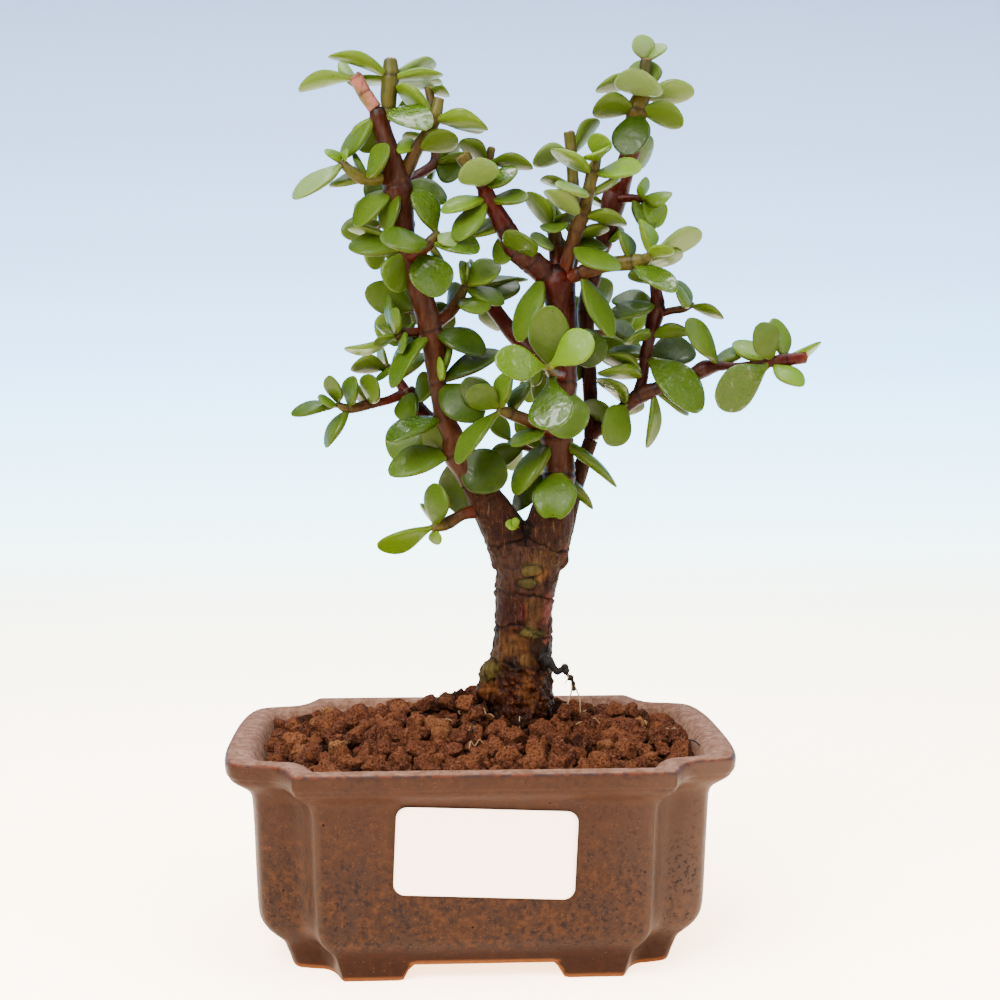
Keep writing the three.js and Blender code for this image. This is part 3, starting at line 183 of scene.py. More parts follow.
# Leafy stems: joints and leaves. A leaf is [joint that it grows from, tip x, y, z, width, roll]:
# roll 0 turns its upper face to the front, 90 turns it up and 180 to the back.
LEAFY_STEMS = {
    "left_limb": ([
        [-1.5, -1, 107.5, 3.1], [-5.5, -1, 113.5, 2.7], [-6, -1, 117.5, 2.6], [-8, -1, 122, 2.3],
        [-9, -1, 126, 1.9], [-9.5, -1, 130, 2.1], [-10, -1, 136.5, 2.7], [-11, -1, 142, 2.8],
        [-13, -1, 149.5, 2.7], [-15.5, -1, 157, 1.6], [-16.5, -1, 160.5, 2.1],
        [-17.5, -1, 168.5, 2.8], [-18.5, -1, 175, 3.3], [-20.5, -1, 183, 2.3], [-23, -1, 191.5, 2],
    ], [
        [1, 6, -6, 107, 11, 0], [1, -21, -4, 109.5, 9, 45], [1, -4, 5, 98.5, 10, 35],
        [3, -21, -9, 117, 8.5, 60], [3, -10.5, 3, 112.5, 8.5, 30], [5, 0.5, -8, 122, 9.5, 20],
        [5, -15, 5, 128, 7.5, 30], [7, 1.5, -5, 137, 9, 50], [7, -20, -8, 129, 8, 60],
        [7, -20.5, 6, 135, 7, 60], [10, -20, -3, 151, 8.5, 150], [10, -30, 1, 162, 8.5, 45],
        [12, -28.5, -3, 166, 8, 50], [12, -21, -4, 164.5, 7.5, 55], [12, -7, 0, 172.5, 8.5, 40],
        [14, -32, 2, 182, 8.5, 60], [14, -26, 5, 183.5, 8.5, 150], [5, 5, -2, 137.5, 8, 55],
        [5, -9, -5, 135.5, 6, 65], [5, -6.5, 1, 140, 7, 65], [10, -30, 5, 166, 7, 100],
    ]),
    "centre_limb": ([
        [18, 0, 102.5, 4.5], [19, 0, 109, 3.7], [18.5, 0, 113.5, 3.7], [18.5, 0, 117.5, 3.7],
        [19, 0, 123.5, 3.6], [19.5, 0, 130.5, 3.5], [19.5, 0, 137.5, 3.4], [19.5, 0, 144.5, 3.4],
        [19, 0, 149, 3.6], [18.5, 0, 153, 4.2], [18.5, 0, 155, 3.5],
    ], [
        [1, 16.5, -9, 98.5, 10.5, 20], [1, 27.5, 3, 100.5, 5, 65], [3, 8, -6, 104.5, 8, 60],
        [3, 32.5, -3, 106, 8.5, 65], [5, 19.5, -9, 117.5, 12.5, 10], [6, 29.5, -5, 138, 9, 0],
        [1, 8.2, 6, 100, 6, 30],
    ]),
    "back_limb": ([
        [27.5, 9, 116.5, 1.7], [27.5, 11, 126, 1.8], [27, 13, 138, 1.9], [26.5, 13, 147.5, 2.1],
        [28, 12, 156, 2.1], [30.5, 11, 164, 2.2], [32.5, 10, 172.5, 3], [33.5, 10, 175.5, 2.9],
        [34.5, 8, 179, 2.5], [36, 7, 183.5, 2.4], [37, 6, 189.5, 2.4], [37.5, 5, 194, 2.4],
        [38.5, 5, 197, 2], [39, 5, 201, 1.5], [39.5, 5, 205, 1.4],
    ], [
        [3, 38.5, 9, 140.5, 8, 55], [4, 32.5, 16, 149, 8, 45], [5, 35, 9, 166.5, 7.5, 60],
        [11, 34.5, -2, 182.5, 9.5, 30], [10, 41.5, 15, 182.5, 8, 20], [11, 26.5, 1, 193.5, 8, 125],
        [11, 48, 1, 190.5, 8, 120], [12, 35.5, -7, 200.5, 11.5, 0], [12, 50.5, 2, 198, 8.5, 115],
        [13, 27.5, 5, 198.5, 8, 110], [12, 39, 9, 206, 9.5, 150], [14, 38, 4, 211, 6.5, 25],
        [14, 44, 6, 209.5, 5, 50],
    ]),
    "right_branch": ([
        [27.5, 9, 117.5, 1.4], [30.5, 8, 120, 1.6], [36, 6, 125, 1.7], [38.5, 5, 127, 2],
        [42, 4, 128.5, 1.7], [46.5, 3, 130, 1.4], [51, 2, 132, 1.8], [53.5, 1, 133.5, 2],
        [56.5, 0, 134, 1.2], [60.5, -1, 134, 0.8], [65, -1, 134.5, 0.9], [69, -1, 135, 1.3],
        [72, -1, 135.5, 1.5], [76.5, -1, 136, 1.4],
    ], [
        [2, 29.5, -3, 116.5, 9.5, 20], [2, 28.5, 0, 131.5, 7.5, 110], [3, 36.5, 8, 122, 7, 40],
        [4, 40.5, 4, 114.5, 5, 50], [4, 51.5, 10, 123, 6.5, 55], [8, 48, -5, 144.5, 8, 45],
        [8, 62, 5, 138.5, 7.5, 110], [11, 54.5, -8, 125.5, 11, 20], [11, 75, -6, 129.5, 8, 45],
        [11, 64.5, -6, 143.5, 8, 20], [11, 60.5, 3, 140, 8, 50], [12, 70.5, 3, 145.5, 7, 35],
        [12, 81.5, 3, 139, 6.5, 65], [1, 27.5, 5, 126.5, 8, 125],
    ]),
    "front_rosette": ([
        [19, -3, 132, 1.7], [16.5, -10, 132.5, 1.4], [15, -15, 133.5, 0.9],
    ], [
        [1, 15.5, -20, 120, 11, 25], [1, 15, -17, 147, 9.5, 15], [2, 3, -21, 135, 8.5, 20],
        [2, 24.5, -20, 140, 9, 35],
    ]),
    "crown_shoot_a": ([
        [17.5, 0, 154, 2.6], [15.2, -0.8, 155.5, 2.7], [12, -2, 158, 2.8], [9, -3, 160.5, 2.7],
        [6, -4, 165.5, 2.3], [3.5, -5, 169.5, 2.1], [2, -5, 172, 2], [1, -5, 174.5, 1.6],
        [-1.5, -6, 178, 1.5], [-3.5, -6, 181, 1.8],
    ], [
        [2, 7, -11, 164, 8.5, 50], [3, 3, -2, 160, 8, 30], [6, 11, -8, 172, 7.5, 60],
        [6, -8.5, -9, 168.5, 7.5, 60], [6, -5.5, -10, 162, 8, 50], [7, -1.5, -15, 179, 9.5, 20],
        [7, 8.5, -9, 178, 7.5, 55], [4, -2.5, 3, 165, 7.5, 50], [1, 9, -7, 139.5, 8, 45],
    ]),
    "crown_shoot_c": ([
        [19.5, -1, 154, 1.7], [21.5, -2, 161.5, 1.6], [22.5, -3, 165, 1.7], [24, -4, 168.5, 1.6],
        [24.5, -4, 171, 1.5], [25, -5, 173.5, 1.4], [26, -5, 178, 1.5], [27, -5, 181, 1],
    ], [
        [1, 30, 3, 162.5, 7, 55], [1, 31, -13, 155.5, 8, 45], [3, 34, -6, 166.5, 8, 105],
        [3, 15, -6, 174, 8.5, 110], [5, 18, -14, 173.5, 8, 60], [5, 32.5, 2, 177, 7.5, 100],
        [6, 16.5, -8, 183, 9, 100], [6, 36.5, -10, 178.5, 9, 60], [7, 27.5, -7, 186.5, 6.5, 150],
        [7, 26, -12, 181.5, 6.5, 140], [2, 30, 1, 165.5, 7.5, 110],
    ]),
    "left_top_stub": ([
        [-23.5, -1, 192.5, 1.6], [-26, -1, 196, 1.6], [-28, -2, 199.5, 1.5],
    ], [
        [2, -41, -2, 196.5, 8, 100], [1, -31.5, 8, 205, 5, 120],
    ]),
    "left_upright_stub": ([
        [-21.5, 0, 189.5, 1.2], [-20.5, 0, 192.5, 1.5], [-20.5, 0, 195.5, 1.9], [-20, 0, 200, 2],
        [-20, 0, 203.5, 1.5],
    ], [
        [1, -11.5, -12, 186.5, 9.5, 40], [3, -34, -3, 204, 8.5, 95], [3, -8, -2, 200.5, 8, 90],
        [3, -10, 11, 204.5, 8, 95], [3, -27, 11, 200.5, 7.5, 90], [3, -8.5, 10, 200.5, 7.5, 95],
    ]),
    "left_side_branch": ([
        [-17.5, 0, 176.5, 1.6], [-15.5, -1, 180.5, 1.6], [-14, -2, 183.5, 1.5],
        [-11.5, -3, 187, 1.4], [-10, -4, 190, 1.5], [-9, -4, 194, 1.2],
    ], [
        [2, -5, -6, 186, 8.5, 120], [2, -18.5, -1, 185, 7, 50], [4, -18.5, -1, 197.5, 8.5, 110],
        [4, 2, -8, 187.5, 9, 105], [4, 1, 5, 188.5, 8, 100],
    ]),
    "left_shoot": ([
        [-20.5, -1, 177, 1.5], [-26, -2, 176.5, 1.4], [-29, -3, 178, 1.3], [-31, -3, 180, 0.9],
    ], [
        [1, -20.5, -8, 183, 8, 55], [1, -34, 5, 176.5, 7, 60], [1, -28.5, 4, 182.5, 5, 75],
        [3, -42, -7, 171.5, 9, 55], [3, -34.5, -2, 183.5, 5.5, 65], [3, -30, -4, 183, 4.5, 65],
    ]),
    "left_middle_shoot": ([
        [-16, -2, 159, 1.5], [-13.5, -4, 160, 1.4], [-11, -6, 162, 1.3], [-9.5, -6, 164, 0.8],
    ], [
        [1, -9.5, -9, 149.5, 10.5, 15], [2, -22, -12, 162, 9.5, 50], [2, 0, -9, 160, 9, 50],
        [3, -14.5, -7, 173.5, 8.5, 45], [3, -4, -9, 161, 7.5, 50], [2, -9.5, 4, 158, 8, 100],
    ]),
    "left_inner_twig": ([
        [-9.5, 0, 144, 1.5], [-6.5, 1, 146.5, 1.5], [-4.5, 2, 149.5, 1.4], [-3, 2, 152.5, 0.9],
    ], [
        [2, 1.5, -5, 146.5, 8, 50], [3, -7.5, 8, 148.5, 7.5, 60], [3, 6, -1, 148.5, 7, 55],
        [3, -4, -1, 158, 6, 65], [3, 5, 2, 158, 8.5, 45], [3, -1.5, 4, 158, 7, 75],
    ]),
    "left_outer_twig": ([
        [-12.5, 0, 142, 1.1], [-17.5, -1, 141.5, 1], [-19, -1, 140.5, 0.8],
    ], [
        [2, -19, -5, 147, 5, 65], [1, -15.5, 5, 144, 4, 65], [2, -21.5, 2, 150.5, 5, 70],
        [2, -31, -2, 137.5, 6.5, 75], [2, -23.5, 6, 143, 4.5, 70], [2, -23.5, -6, 139.5, 5, 70],
        [1, -17.5, -7, 137.5, 5, 65],
    ]),
    "low_left_twig": ([
        [2, 0, 100.5, 1.9], [-3.5, -2, 99.5, 1.4], [-7.5, -3, 97.5, 1.5], [-10.5, -4, 96.5, 1],
    ], [
        [3, -10, -6, 107, 8.5, 50], [3, -23.5, -7, 92.5, 8.5, 55], [3, -10, -4, 92.5, 5, 55],
        [2, -13.5, 3, 100.5, 8, 70],
    ]),
    "shaded_limb": ([
        [-2.5, 0, 109, 1.5], [-6, 3, 114, 1.5], [-9.5, 6, 119.5, 1.8], [-14, 8, 124, 1.8],
        [-16.5, 9, 128, 2],
    ], [
        [3, -19, 4, 111.5, 9.5, 20], [4, -15.5, 1.5, 121.5, 7, 30],
    ]),
    "middle_twig": ([
        [18.5, 0, 118, 1.6], [15.5, -3, 119.5, 1.6], [11, -6, 121.5, 1.5], [7, -8, 123, 1.4],
        [4.5, -9, 124, 1],
    ], [
        [3, 11, -3, 130.5, 6.5, 60], [1, 7.5, -11, 116, 6.5, 65], [4, 6.5, -12, 132.5, 6.5, 60],
        [4, -2.5, -15, 128.5, 7, 20], [4, -5.5, -12, 112, 8, 65], [4, -4, -9.5, 130.5, 8, 30],
    ]),
    "red_twig": ([
        [18.5, 1, 134.5, 2.1], [15.5, 2.5, 136.3, 2.1], [12.5, 4, 138, 2.1], [9, 6, 141, 2],
        [5.5, 7, 145.5, 1.9], [3, 8, 149, 1.7], [0.5, 9, 153, 1.1],
    ], [
        [1, 11, 7, 130.5, 8, 40], [5, 9, 12, 155, 8.5, 45], [5, 4, 12, 142.5, 7.5, 45],
        [6, -1.5, 18, 158.5, 7, 80], [6, 12.5, 18, 155.5, 7, 70],
    ]),
    "crown_shoot_b": ([
        [18.5, 1, 154, 1.8], [18.5, 4, 162, 1.9], [18, 4, 165.5, 1.5], [18, 4, 167, 0.9],
    ], [
        [1, 12.5, 0, 163.5, 7.5, 60], [2, 20.5, 17, 163, 7.5, 90], [3, 17, -7, 164.5, 6.5, 30],
        [3, 21.5, -1, 169.5, 6, 115], [2, 18, 14, 171, 8, 90], [2, 11.5, 2, 174.5, 8, 115],
    ]),
    "crown_shoot_d": ([
        [19.5, -1, 153.5, 1.6], [23.5, -3, 155.3, 1.7], [25.5, -4, 156, 1.7], [29, -5, 157, 1.7],
        [35, -7, 157.5, 1.8], [37.5, -8, 158, 1.4], [39, -8, 159, 0.9],
    ], [
        [4, 32.5, -6, 165, 7.5, 55], [4, 43.5, -15, 150.5, 8.5, 45], [5, 47, 0, 159, 8, 110],
        [6, 38, -4, 167.5, 7.5, 55], [6, 42.5, -12, 161, 7, 120], [6, 51.5, -3, 164, 9, 120],
        [1, 30.5, -8, 140.5, 8, 45],
    ]),
    "crown_back_stub": ([
        [20, 3, 154, 1.4], [22.5, 6, 158.5, 1.4], [23.5, 8, 165, 1.4], [23, 10, 177, 1.4],
        [22.5, 10, 184.5, 1.4], [22, 10, 189, 1.4],
    ], [
        [4, 13, 7, 182.5, 8.5, 115], [4, 29.5, 14, 192.5, 8, 115], [3, 15.5, 13, 178.5, 8, 100],
        [3, 30, 16, 173, 8, 90], [2, 17, 18, 174.5, 8, 80],
    ]),
    "right_upright": ([
        [38.5, 6, 128, 1.5], [39.5, 6, 132, 1.3], [40, 6, 136.5, 1.4], [41, 5, 141.5, 1.5],
        [42, 5, 145.5, 2], [42.5, 4, 148.5, 1.7], [42, 4, 152, 1.4], [41.5, 3, 154.5, 1.1],
    ], [
        [1, 28, -2, 133, 7.5, 115], [1, 29.5, 1, 137, 7.5, 110], [3, 34.5, -3, 140.5, 6.5, 110],
        [3, 50.5, 0, 142, 7.5, 110], [2, 53, 12, 138.5, 9, 30], [2, 33, 13, 139, 8, 60],
        [5, 31.5, -1, 145.5, 8, 60], [5, 32.5, 10, 150.5, 8, 50], [7, 36.5, 8, 155, 7, 110],
        [2, 51.5, -4, 123.5, 9.5, 15],
    ]),
    "back_limb_shoot": ([
        [33.5, 8, 173.5, 1.1], [37, 6, 173.5, 0.9], [39, 5, 173, 0.7],
    ], [
        [1, 40, 1, 165, 7.5, 45], [2, 39.5, 3, 178, 6.5, 55], [2, 45.5, 2, 173.5, 7.5, 125],
        [2, 43.5, 5, 167, 8, 30],
    ]),
    "left_back_shoot": ([
        [-18, 0, 175, 1.4], [-14.5, 9, 178.5, 1.3], [-10, 13, 182.5, 1.2], [-10, 15, 188.5, 1.2],
        [-10.5, 18, 197, 1.1], [-11.5, 19, 201.5, 0.9],
    ], [
        [2, -3.5, 12, 180, 9, 30], [2, -4, 18, 186.5, 8, 115], [3, -17, 20, 188.5, 8, 100],
        [4, -19, 15, 195.5, 8, 120], [2, -0.5, 12, 184.5, 7.5, 95], [5, -17.5, 20, 203, 8, 100],
        [5, -6, 18, 199.5, 7, 100], [2, -12, 20, 177, 8, 90], [4, -12, 28, 207.5, 8, 100],
    ]),
}
# Branches of these stems.
BRANCHES = {
    "crown_shoot_a": [
        ([
            [1.5, -3, 173.5, 1], [2, -2, 177.5, 1], [2.5, -1, 181, 1], [3, -1, 183.5, 1],
        ], [
            [2, -4, -3, 185.5, 7.5, 110], [2, 12.5, -4, 179.5, 7.5, 105],
            [1, 5.5, 8, 177.5, 8, 90],
        ]),
    ],
    "shaded_limb": [
        ([
            [-17.5, 9, 127.5, 1.3], [-21, 8, 126, 1.1], [-25.5, 7, 125, 1.2], [-30.5, 6, 124, 1.1],
            [-33, 6, 125, 0.7],
        ], [
            [2, -24.5, 1, 131.5, 7.5, 50], [3, -29, 3, 131.5, 6.5, 55], [3, -36, 4, 115, 6.5, 60],
            [4, -37, 2, 126.5, 5, 70], [4, -34.5, 2, 131.5, 6.5, 50], [4, -44, 5, 123, 6, 65],
            [2, -29.5, 13, 130, 5, 65],
        ]),
        ([
            [-16.5, 9, 127, 1.6], [-19, 11, 131, 1.1], [-21.5, 11, 134, 1],
        ], [
            [1, -12.5, 14, 137.5, 8, 60], [2, -30, 8, 134, 7.5, 120], [2, -23.5, 12, 139, 6, 70],
            [2, -23, 7, 131, 5, 60],
        ]),
    ],
    "right_upright": [
        ([
            [42, 5, 146, 1.1], [45.5, 4, 147, 0.9], [48.5, 3, 147.5, 0.9], [50.5, 2, 148.5, 0.6],
        ], [
            [3, 46, -3, 151, 6, 50], [3, 48, 5, 154.5, 6, 60], [3, 57.5, -1, 145.5, 7, 100],
        ]),
    ],
}

# Shoots that fill the back of the crown: start, heading, length, pairs of leaves, turn of the first
# pair in degrees, and seed.
REAR_SHOOTS = {
    "rear_left": ([-12.5, -1, 146], [-0.3, 0.95, 0.2], 24, 4, 20, 110003),
    "rear_upper_left": ([-18, -1, 170], [-0.35, 0.95, -0.1], 20, 3, 80, 250007),
    "rear_low": ([18, 0, 112], [-0.45, 0.9, 0.25], 22, 3, 60, 390001),
    "rear_middle": ([19.5, 0, 133], [-0.15, 0.95, 0.1], 30, 4, 0, 530009),
    "rear_right": ([25, 13, 141], [0.55, 0.8, 0.15], 22, 4, 45, 670003),
}
REAR_STEM_RADIUS = (1.5, 0.7)
REAR_LEAF_LENGTH = (13, 9)
REAR_LEAF_SLANT = 65
REAR_DROOP = 0.08
REAR_STEPS = 3
LEAF_WIDTH_SHARE = 0.62

# Colour of each stem: at its foot, at its end and how late it turns from one to the other. 0 is
# brown wood, 0.3 dark maroon, 0.5 red, 0.7 olive brown, 0.85 light olive and 1 dark olive.
STEM_GROWTH = {
    "left_limb": (0.0, 0.22, 1), "centre_limb": (0.05, 0.42, 3), "back_limb": (0.28, 1.1, 4),
    "right_branch": (0.2, 0.5, 3), "crown_shoot_a": (0.3, 0.8, 3), "crown_shoot_c": (0.45, 0.86, 0.7),
    "crown_shoot_d": (0.45, 0.88, 0.8), "left_upright_stub": (0.86, 0.95, 1),
    "left_side_branch": (0.68, 0.9, 2), "left_shoot": (0.85, 0.92, 1), "shaded_limb": (0.25, 0.35, 1),
    "crown_back_stub": (0.6, 0.9, 1), "right_upright": (0.28, 0.34, 1), "red_twig": (0.4, 0.45, 1),
    "left_inner_twig": (0.5, 0.8, 1), "back_limb_shoot": (0.4, 0.6, 1),
}
TWIG_GROWTH = (0.4, 0.8, 1)
PINK_STEMS = ("left_top_stub",)
PRUNED_RADIUS = 1.05  # a stem whose end is thicker than this was cut there
FORKED_STEMS = ("left_limb", "centre_limb")  # unless other stems grow from its end

# Looks of a leaf: how light its green is, and how much of it is the yellow green of new growth.
# The dark look is painted shade, for leaves that lie in the crown's shade; the pale look is a pale
# green with painted light over it, for leaves at the top of the crown that the light falls on.
LOOKS = {
    "dark": (0.05, 0.0), "usual": (0.45, 0.05), "pale": (1.0, 0.1), "bright": (0.85, 0.7),
    "young": (0.8, 1.0), "old": (0.15, 0.35),
}
# Leaves with the dark look get painted shade, those with the pale look painted light.
LEAF_LOOKS = {
    "left_limb": {0: "dark", 5: "dark", 7: "dark", 17: "dark", 18: "young", 16: "bright"},
    "back_limb": {3: "dark", 7: "pale", 8: "pale", 9: "pale", 11: "pale", 12: "pale"},
    "centre_limb": {0: "old", 5: "dark", 6: "dark"},
    "middle_twig": {0: "dark", 5: "dark"},
    "right_upright": {4: "dark", 6: "dark"},
    "right_branch": {8: "bright", 10: "bright", 12: "young"},
    "front_rosette": {2: "bright", 3: "young"},
    "crown_shoot_a": {3: "bright", 5: "pale", 7: "bright"},
    "crown_shoot_b": {0: "pale", 5: "bright"},
    "crown_shoot_c": {3: "pale", 4: "pale", 6: "bright", 7: "bright", 8: "young", 9: "young"},
    "crown_shoot_d": {3: "young", 4: "young", 5: "pale"},
    "crown_back_stub": {0: "pale"},
    "back_limb_shoot": {1: "bright", 2: "bright", 3: "bright"},
    "left_top_stub": {0: "bright", 1: "bright"},
    "left_upright_stub": {1: "bright", 2: "bright", 3: "pale", 4: "young", 5: "pale"},
    "left_side_branch": {1: "young", 2: "bright", 3: "bright"},
    "left_shoot": {3: "pale", 4: "young", 5: "young"},
    "left_middle_shoot": {4: "pale"},
    "left_inner_twig": {4: "bright", 5: "pale"},
    "left_outer_twig": {3: "bright"},
    "left_back_shoot": {5: "pale", 6: "bright"},
    "low_left_twig": {1: "bright", 2: "young"},
}
LEAF_WETNESS = {"wet": 0.8, "usual": 0.2, "dry": 0.1}
WET_LEAVES = {
    "left_limb": (3, 9), "left_middle_shoot": (0, 2, 3), "left_upright_stub": (0,),
    "crown_shoot_a": (0, 6), "front_rosette": (0, 2), "right_branch": (1, 7),
    "right_upright": (9,), "crown_shoot_d": (1,),
}
# Leaves that narrow more towards the foot than the others.
TAPERED_LEAVES = {
    ("centre_limb", 0): 1.1, ("front_rosette", 0): 2.1, ("front_rosette", 2): 1.6,
    ("front_rosette", 3): 1.7, ("right_branch", 7): 1.8, ("right_branch", 5): 1.6,
    ("crown_shoot_d", 3): 1.7,
}
NOTCHED_LEAVES = {("centre_limb", 0): 0.13}
FAT_LEAVES = {("centre_limb", 1): 1.45, ("centre_limb", 2): 1.45, ("centre_limb", 3): 1.45}
# Finer rolls than the table's, in degrees.
LEAF_ROLLS = {("back_limb", 7): -52, ("centre_limb", 1): 80, ("centre_limb", 3): 84}
# Leaves whose foot stands on the front of a thick stem, instead of inside it.
FRONT_FEET = {("centre_limb", 0): (18.6, -2.9, 110)}

# ---- Trunk ------------------------------------------------------------------------------------

BARK_DEPTH = 0.12
BARK_SWELLINGS = [
    (12.0, -4.2, 86.3, 1.9), (11.2, -3.9, 83.4, 1.7), (11.8, -4, 71.8, 1.6), (2.6, -0.6, 62.6, 2.6),
    (1.4, -0.4, 57.6, 2.4),
]
# Cracks round the trunk at its old nodes: how deep, and (x, z) along the front.
BARK_CRACKS = [
    (0.5, [(4.2, 91.7), (8.1, 93.4), (11.8, 93.8), (15.3, 92.1), (18.8, 91.1)]),
    (0.55, [(4.4, 81.6), (8.3, 81.1), (11.8, 80.9), (14.4, 80.2), (17.2, 79.2)]),
    (0.5, [(3.7, 72.7), (7.2, 73.4), (10.0, 73.9), (13.0, 72.0), (15.3, 70.3)]),
    (0.3, [(2.5, 65.2), (6.0, 64.7), (9.5, 63.8), (15.4, 62.8)]),
]
# Bud scars on the front: x, z, half width, half height.
BUD_SCARS = [
    (12.0, 86.5, 2.3, 1.4), (11.1, 83.6, 2.1, 1.2), (11.4, 72.0, 2.5, 1.0), (13.9, 71.3, 1.6, 0.8),
]
# The bark's colour at heights up the trunk, and its patches on the front: x, z, half width, half
# height and colour.
BARK_ZONES = [
    (50, "30100a"), (60, "4a1c10"), (65, "7c4a20"), (71, "7c4822"), (74, "542416"), (80, "5e2e1c"),
    (83, "5c3424"), (91, "643c2a"), (94, "4c2614"), (112, "64381c"),
]
# The near-black patches 0e0605 in the fork, 0c0605 beside the knob and 120908 behind the dried root are
# painted shade.
BARK_PATCHES = [
    (7.6, 88.0, 4.0, 4.6, "684436"), (15.3, 88.6, 3.4, 3.2, "78522e"), (12.0, 86.5, 2.5, 1.6, "7c6a34"),
    (11.1, 83.6, 2.2, 1.3, "5c5c28"), (14.6, 85.0, 1.1, 2.2, "b0743a"), (16.8, 83.0, 1.6, 3.2, "4a1a12"),
    (7.2, 77.2, 3.0, 3.8, "52241c"), (12.4, 76.8, 2.3, 3.6, "84582e"), (10.0, 76.6, 0.9, 1.5, "701418"),
    (16.3, 77.3, 1.3, 3.4, "b45c54"), (3.4, 70.6, 1.3, 2.6, "160a08"), (7.6, 68.5, 3.2, 3.0, "966230"),
    (11.4, 72.0, 2.6, 1.1, "8a7c3c"), (13.9, 71.3, 1.7, 0.9, "5a622c"), (13.2, 67.6, 2.2, 2.6, "40200f"),
    (16.4, 66.4, 1.6, 3.2, "120908"), (16.0, 70.0, 0.7, 1.2, "c06c60"), (2.0, 62.4, 3.2, 3.4, "8c7a3a"),
    (2.6, 58.2, 2.6, 2.0, "a4602a"), (8.0, 60.2, 3.4, 5.2, "38100a"), (7.8, 64.6, 1.3, 1.3, "0c0605"),
    (11.0, 65.4, 2.2, 1.6, "946630"), (11.6, 58.0, 2.0, 3.6, "b8702c"), (15.4, 59.4, 2.2, 5.0, "120908"),
    (10.9, 96.4, 1.2, 3.4, "0e0605"), (5.2, 96.5, 3.0, 3.2, "4c2416"), (20.6, 90.4, 1.6, 1.8, "8a5038"),
]
DAMP_HEIGHT = (66, 60)  # the wet foot begins and is full
REAR_BARK_PATCHES = "8a6234"  # their colour
# Leaves of the bud in the fork: foot, tip and width, and which way both face.
FORK_BUD = [
    ((9.4, -4.6, 96.8), (6.2, -6.4, 97.8), 2.7), ((9.2, -4.8, 96.6), (8.0, -6.6, 98.8), 2.0),
]
FORK_BUD_FACE = (0.1, -0.9, 0.4)
# The dried root on the right: its black skin, and the pale rootlets at its end.
AERIAL_ROOT = [
    (14.2, -2.6, 66.6, 1.2), (16.4, -4.6, 64.6, 1.3), (18.3, -5.2, 63.0, 0.8), (19.9, -5.4, 64.0, 0.95),
    (20.7, -5.4, 62.2, 0.7), (21.8, -5.5, 60.4, 0.55), (22.3, -5.6, 58.6, 0.3),
]
ROOTLETS = [
    [
        (21.6, -5.5, 60.6, 0.26), (21.5, -5.6, 58.2, 0.2), (20.8, -5.6, 56.0, 0.18),
        (20.1, -5.5, 53.0, 0.14),
    ],
    [
        (22.1, -5.5, 59.8, 0.22), (22.8, -5.6, 58.2, 0.18), (23.4, -5.6, 56.4, 0.16),
        (23.6, -5.5, 53.0, 0.12),
    ],
    [(20.4, -5.4, 63.0, 0.18), (20.6, -6.2, 61.6, 0.14), (19.8, -6.4, 60.2, 0.1)],
]

# ---- Mesh helpers -----------------------------------------------------------------------------


class Shape:
    """Points, faces and values of a mesh in the making."""

    def __init__(self):
        self.points = []
        self.faces = []
        self.slots = []
        self.values = {}
        self.count = 0

    def add(self, points, faces, slot=0, **values):
        """Adds points with their faces. A value is a number for all the points or one for each."""
        points = np.asarray(points, float)
        self.points.append(points)
        self.faces.extend([tuple(self.count + i for i in face) for face in faces])
        self.slots.extend([slot] * len(faces))
        for name, value in values.items():
            rows = self.values.setdefault(name, [])
            missing = self.count - sum(len(row) for row in rows)
            if missing:
                rows.append(np.zeros(missing))
            rows.append(np.broadcast_to(np.asarray(value, float), (len(points),)))
        self.count += len(points)

    def add_rings(self, rings, slot=0, flip=False, **values):
        """Adds a closed loft of rings. Its normals point out where the rings turn anticlockwise as
        seen from the last one, unless flip turns them."""
        faces = ring_faces(len(rings), len(rings[0]))
        if flip:
            faces = [tuple(reversed(face)) for face in faces]
        self.add(np.vstack(list(rings)), faces, slot, **values)


def ring_faces(rings, sides):
    """Faces of a closed loft of rings with equal counts."""
    faces = []
    for low in range(0, (rings - 1) * sides, sides):
        for i in range(sides):
            j = (i + 1) % sides
            faces.append((low + i, low + j, low + sides + j, low + sides + i))
    faces.append(tuple(reversed(range(sides))))
    faces.append(tuple((rings - 1) * sides + i for i in range(sides)))
    return faces


def set_values(mesh, name, values):
    """A number for each point, which a material reads by its name."""
    attribute = mesh.attributes.new(name, "FLOAT", "POINT")
    attribute.data.foreach_set("value", np.asarray(values, np.float32))


def new_piece(name, shape, materials, slot, replaced=()):
    """A Blender object from a shape. One with a slot rides on the root body."""
    mesh = bpy.data.meshes.new(name)
    places = POT_CENTRE + np.concatenate(shape.points) * MM
    mesh.from_pydata(places.tolist(), [], shape.faces)
    for material in materials:
        mesh.materials.append(material)
    mesh.polygons.foreach_set("material_index", shape.slots)
    mesh.polygons.foreach_set("use_smooth", [True] * len(mesh.polygons))
    for value_name, rows in shape.values.items():
        values = np.concatenate(rows)
        set_values(mesh, value_name, np.pad(values, (0, shape.count - len(values))))
    mesh.update()
    piece = bpy.data.objects.new(name, mesh)
    bpy.context.scene.collection.objects.link(piece)
    if slot:
        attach(piece, "root")
    if replaced:
        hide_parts(*replaced)
    return piece


def apply_modifiers(piece):
    """Bakes a piece's modifiers into its mesh."""
    graph = bpy.context.evaluated_depsgraph_get()
    graph.update()
    made = bpy.data.meshes.new_from_object(piece.evaluated_get(graph), depsgraph=graph)
    old = piece.data
    piece.modifiers.clear()
    piece.data = made
    bpy.data.meshes.remove(old)


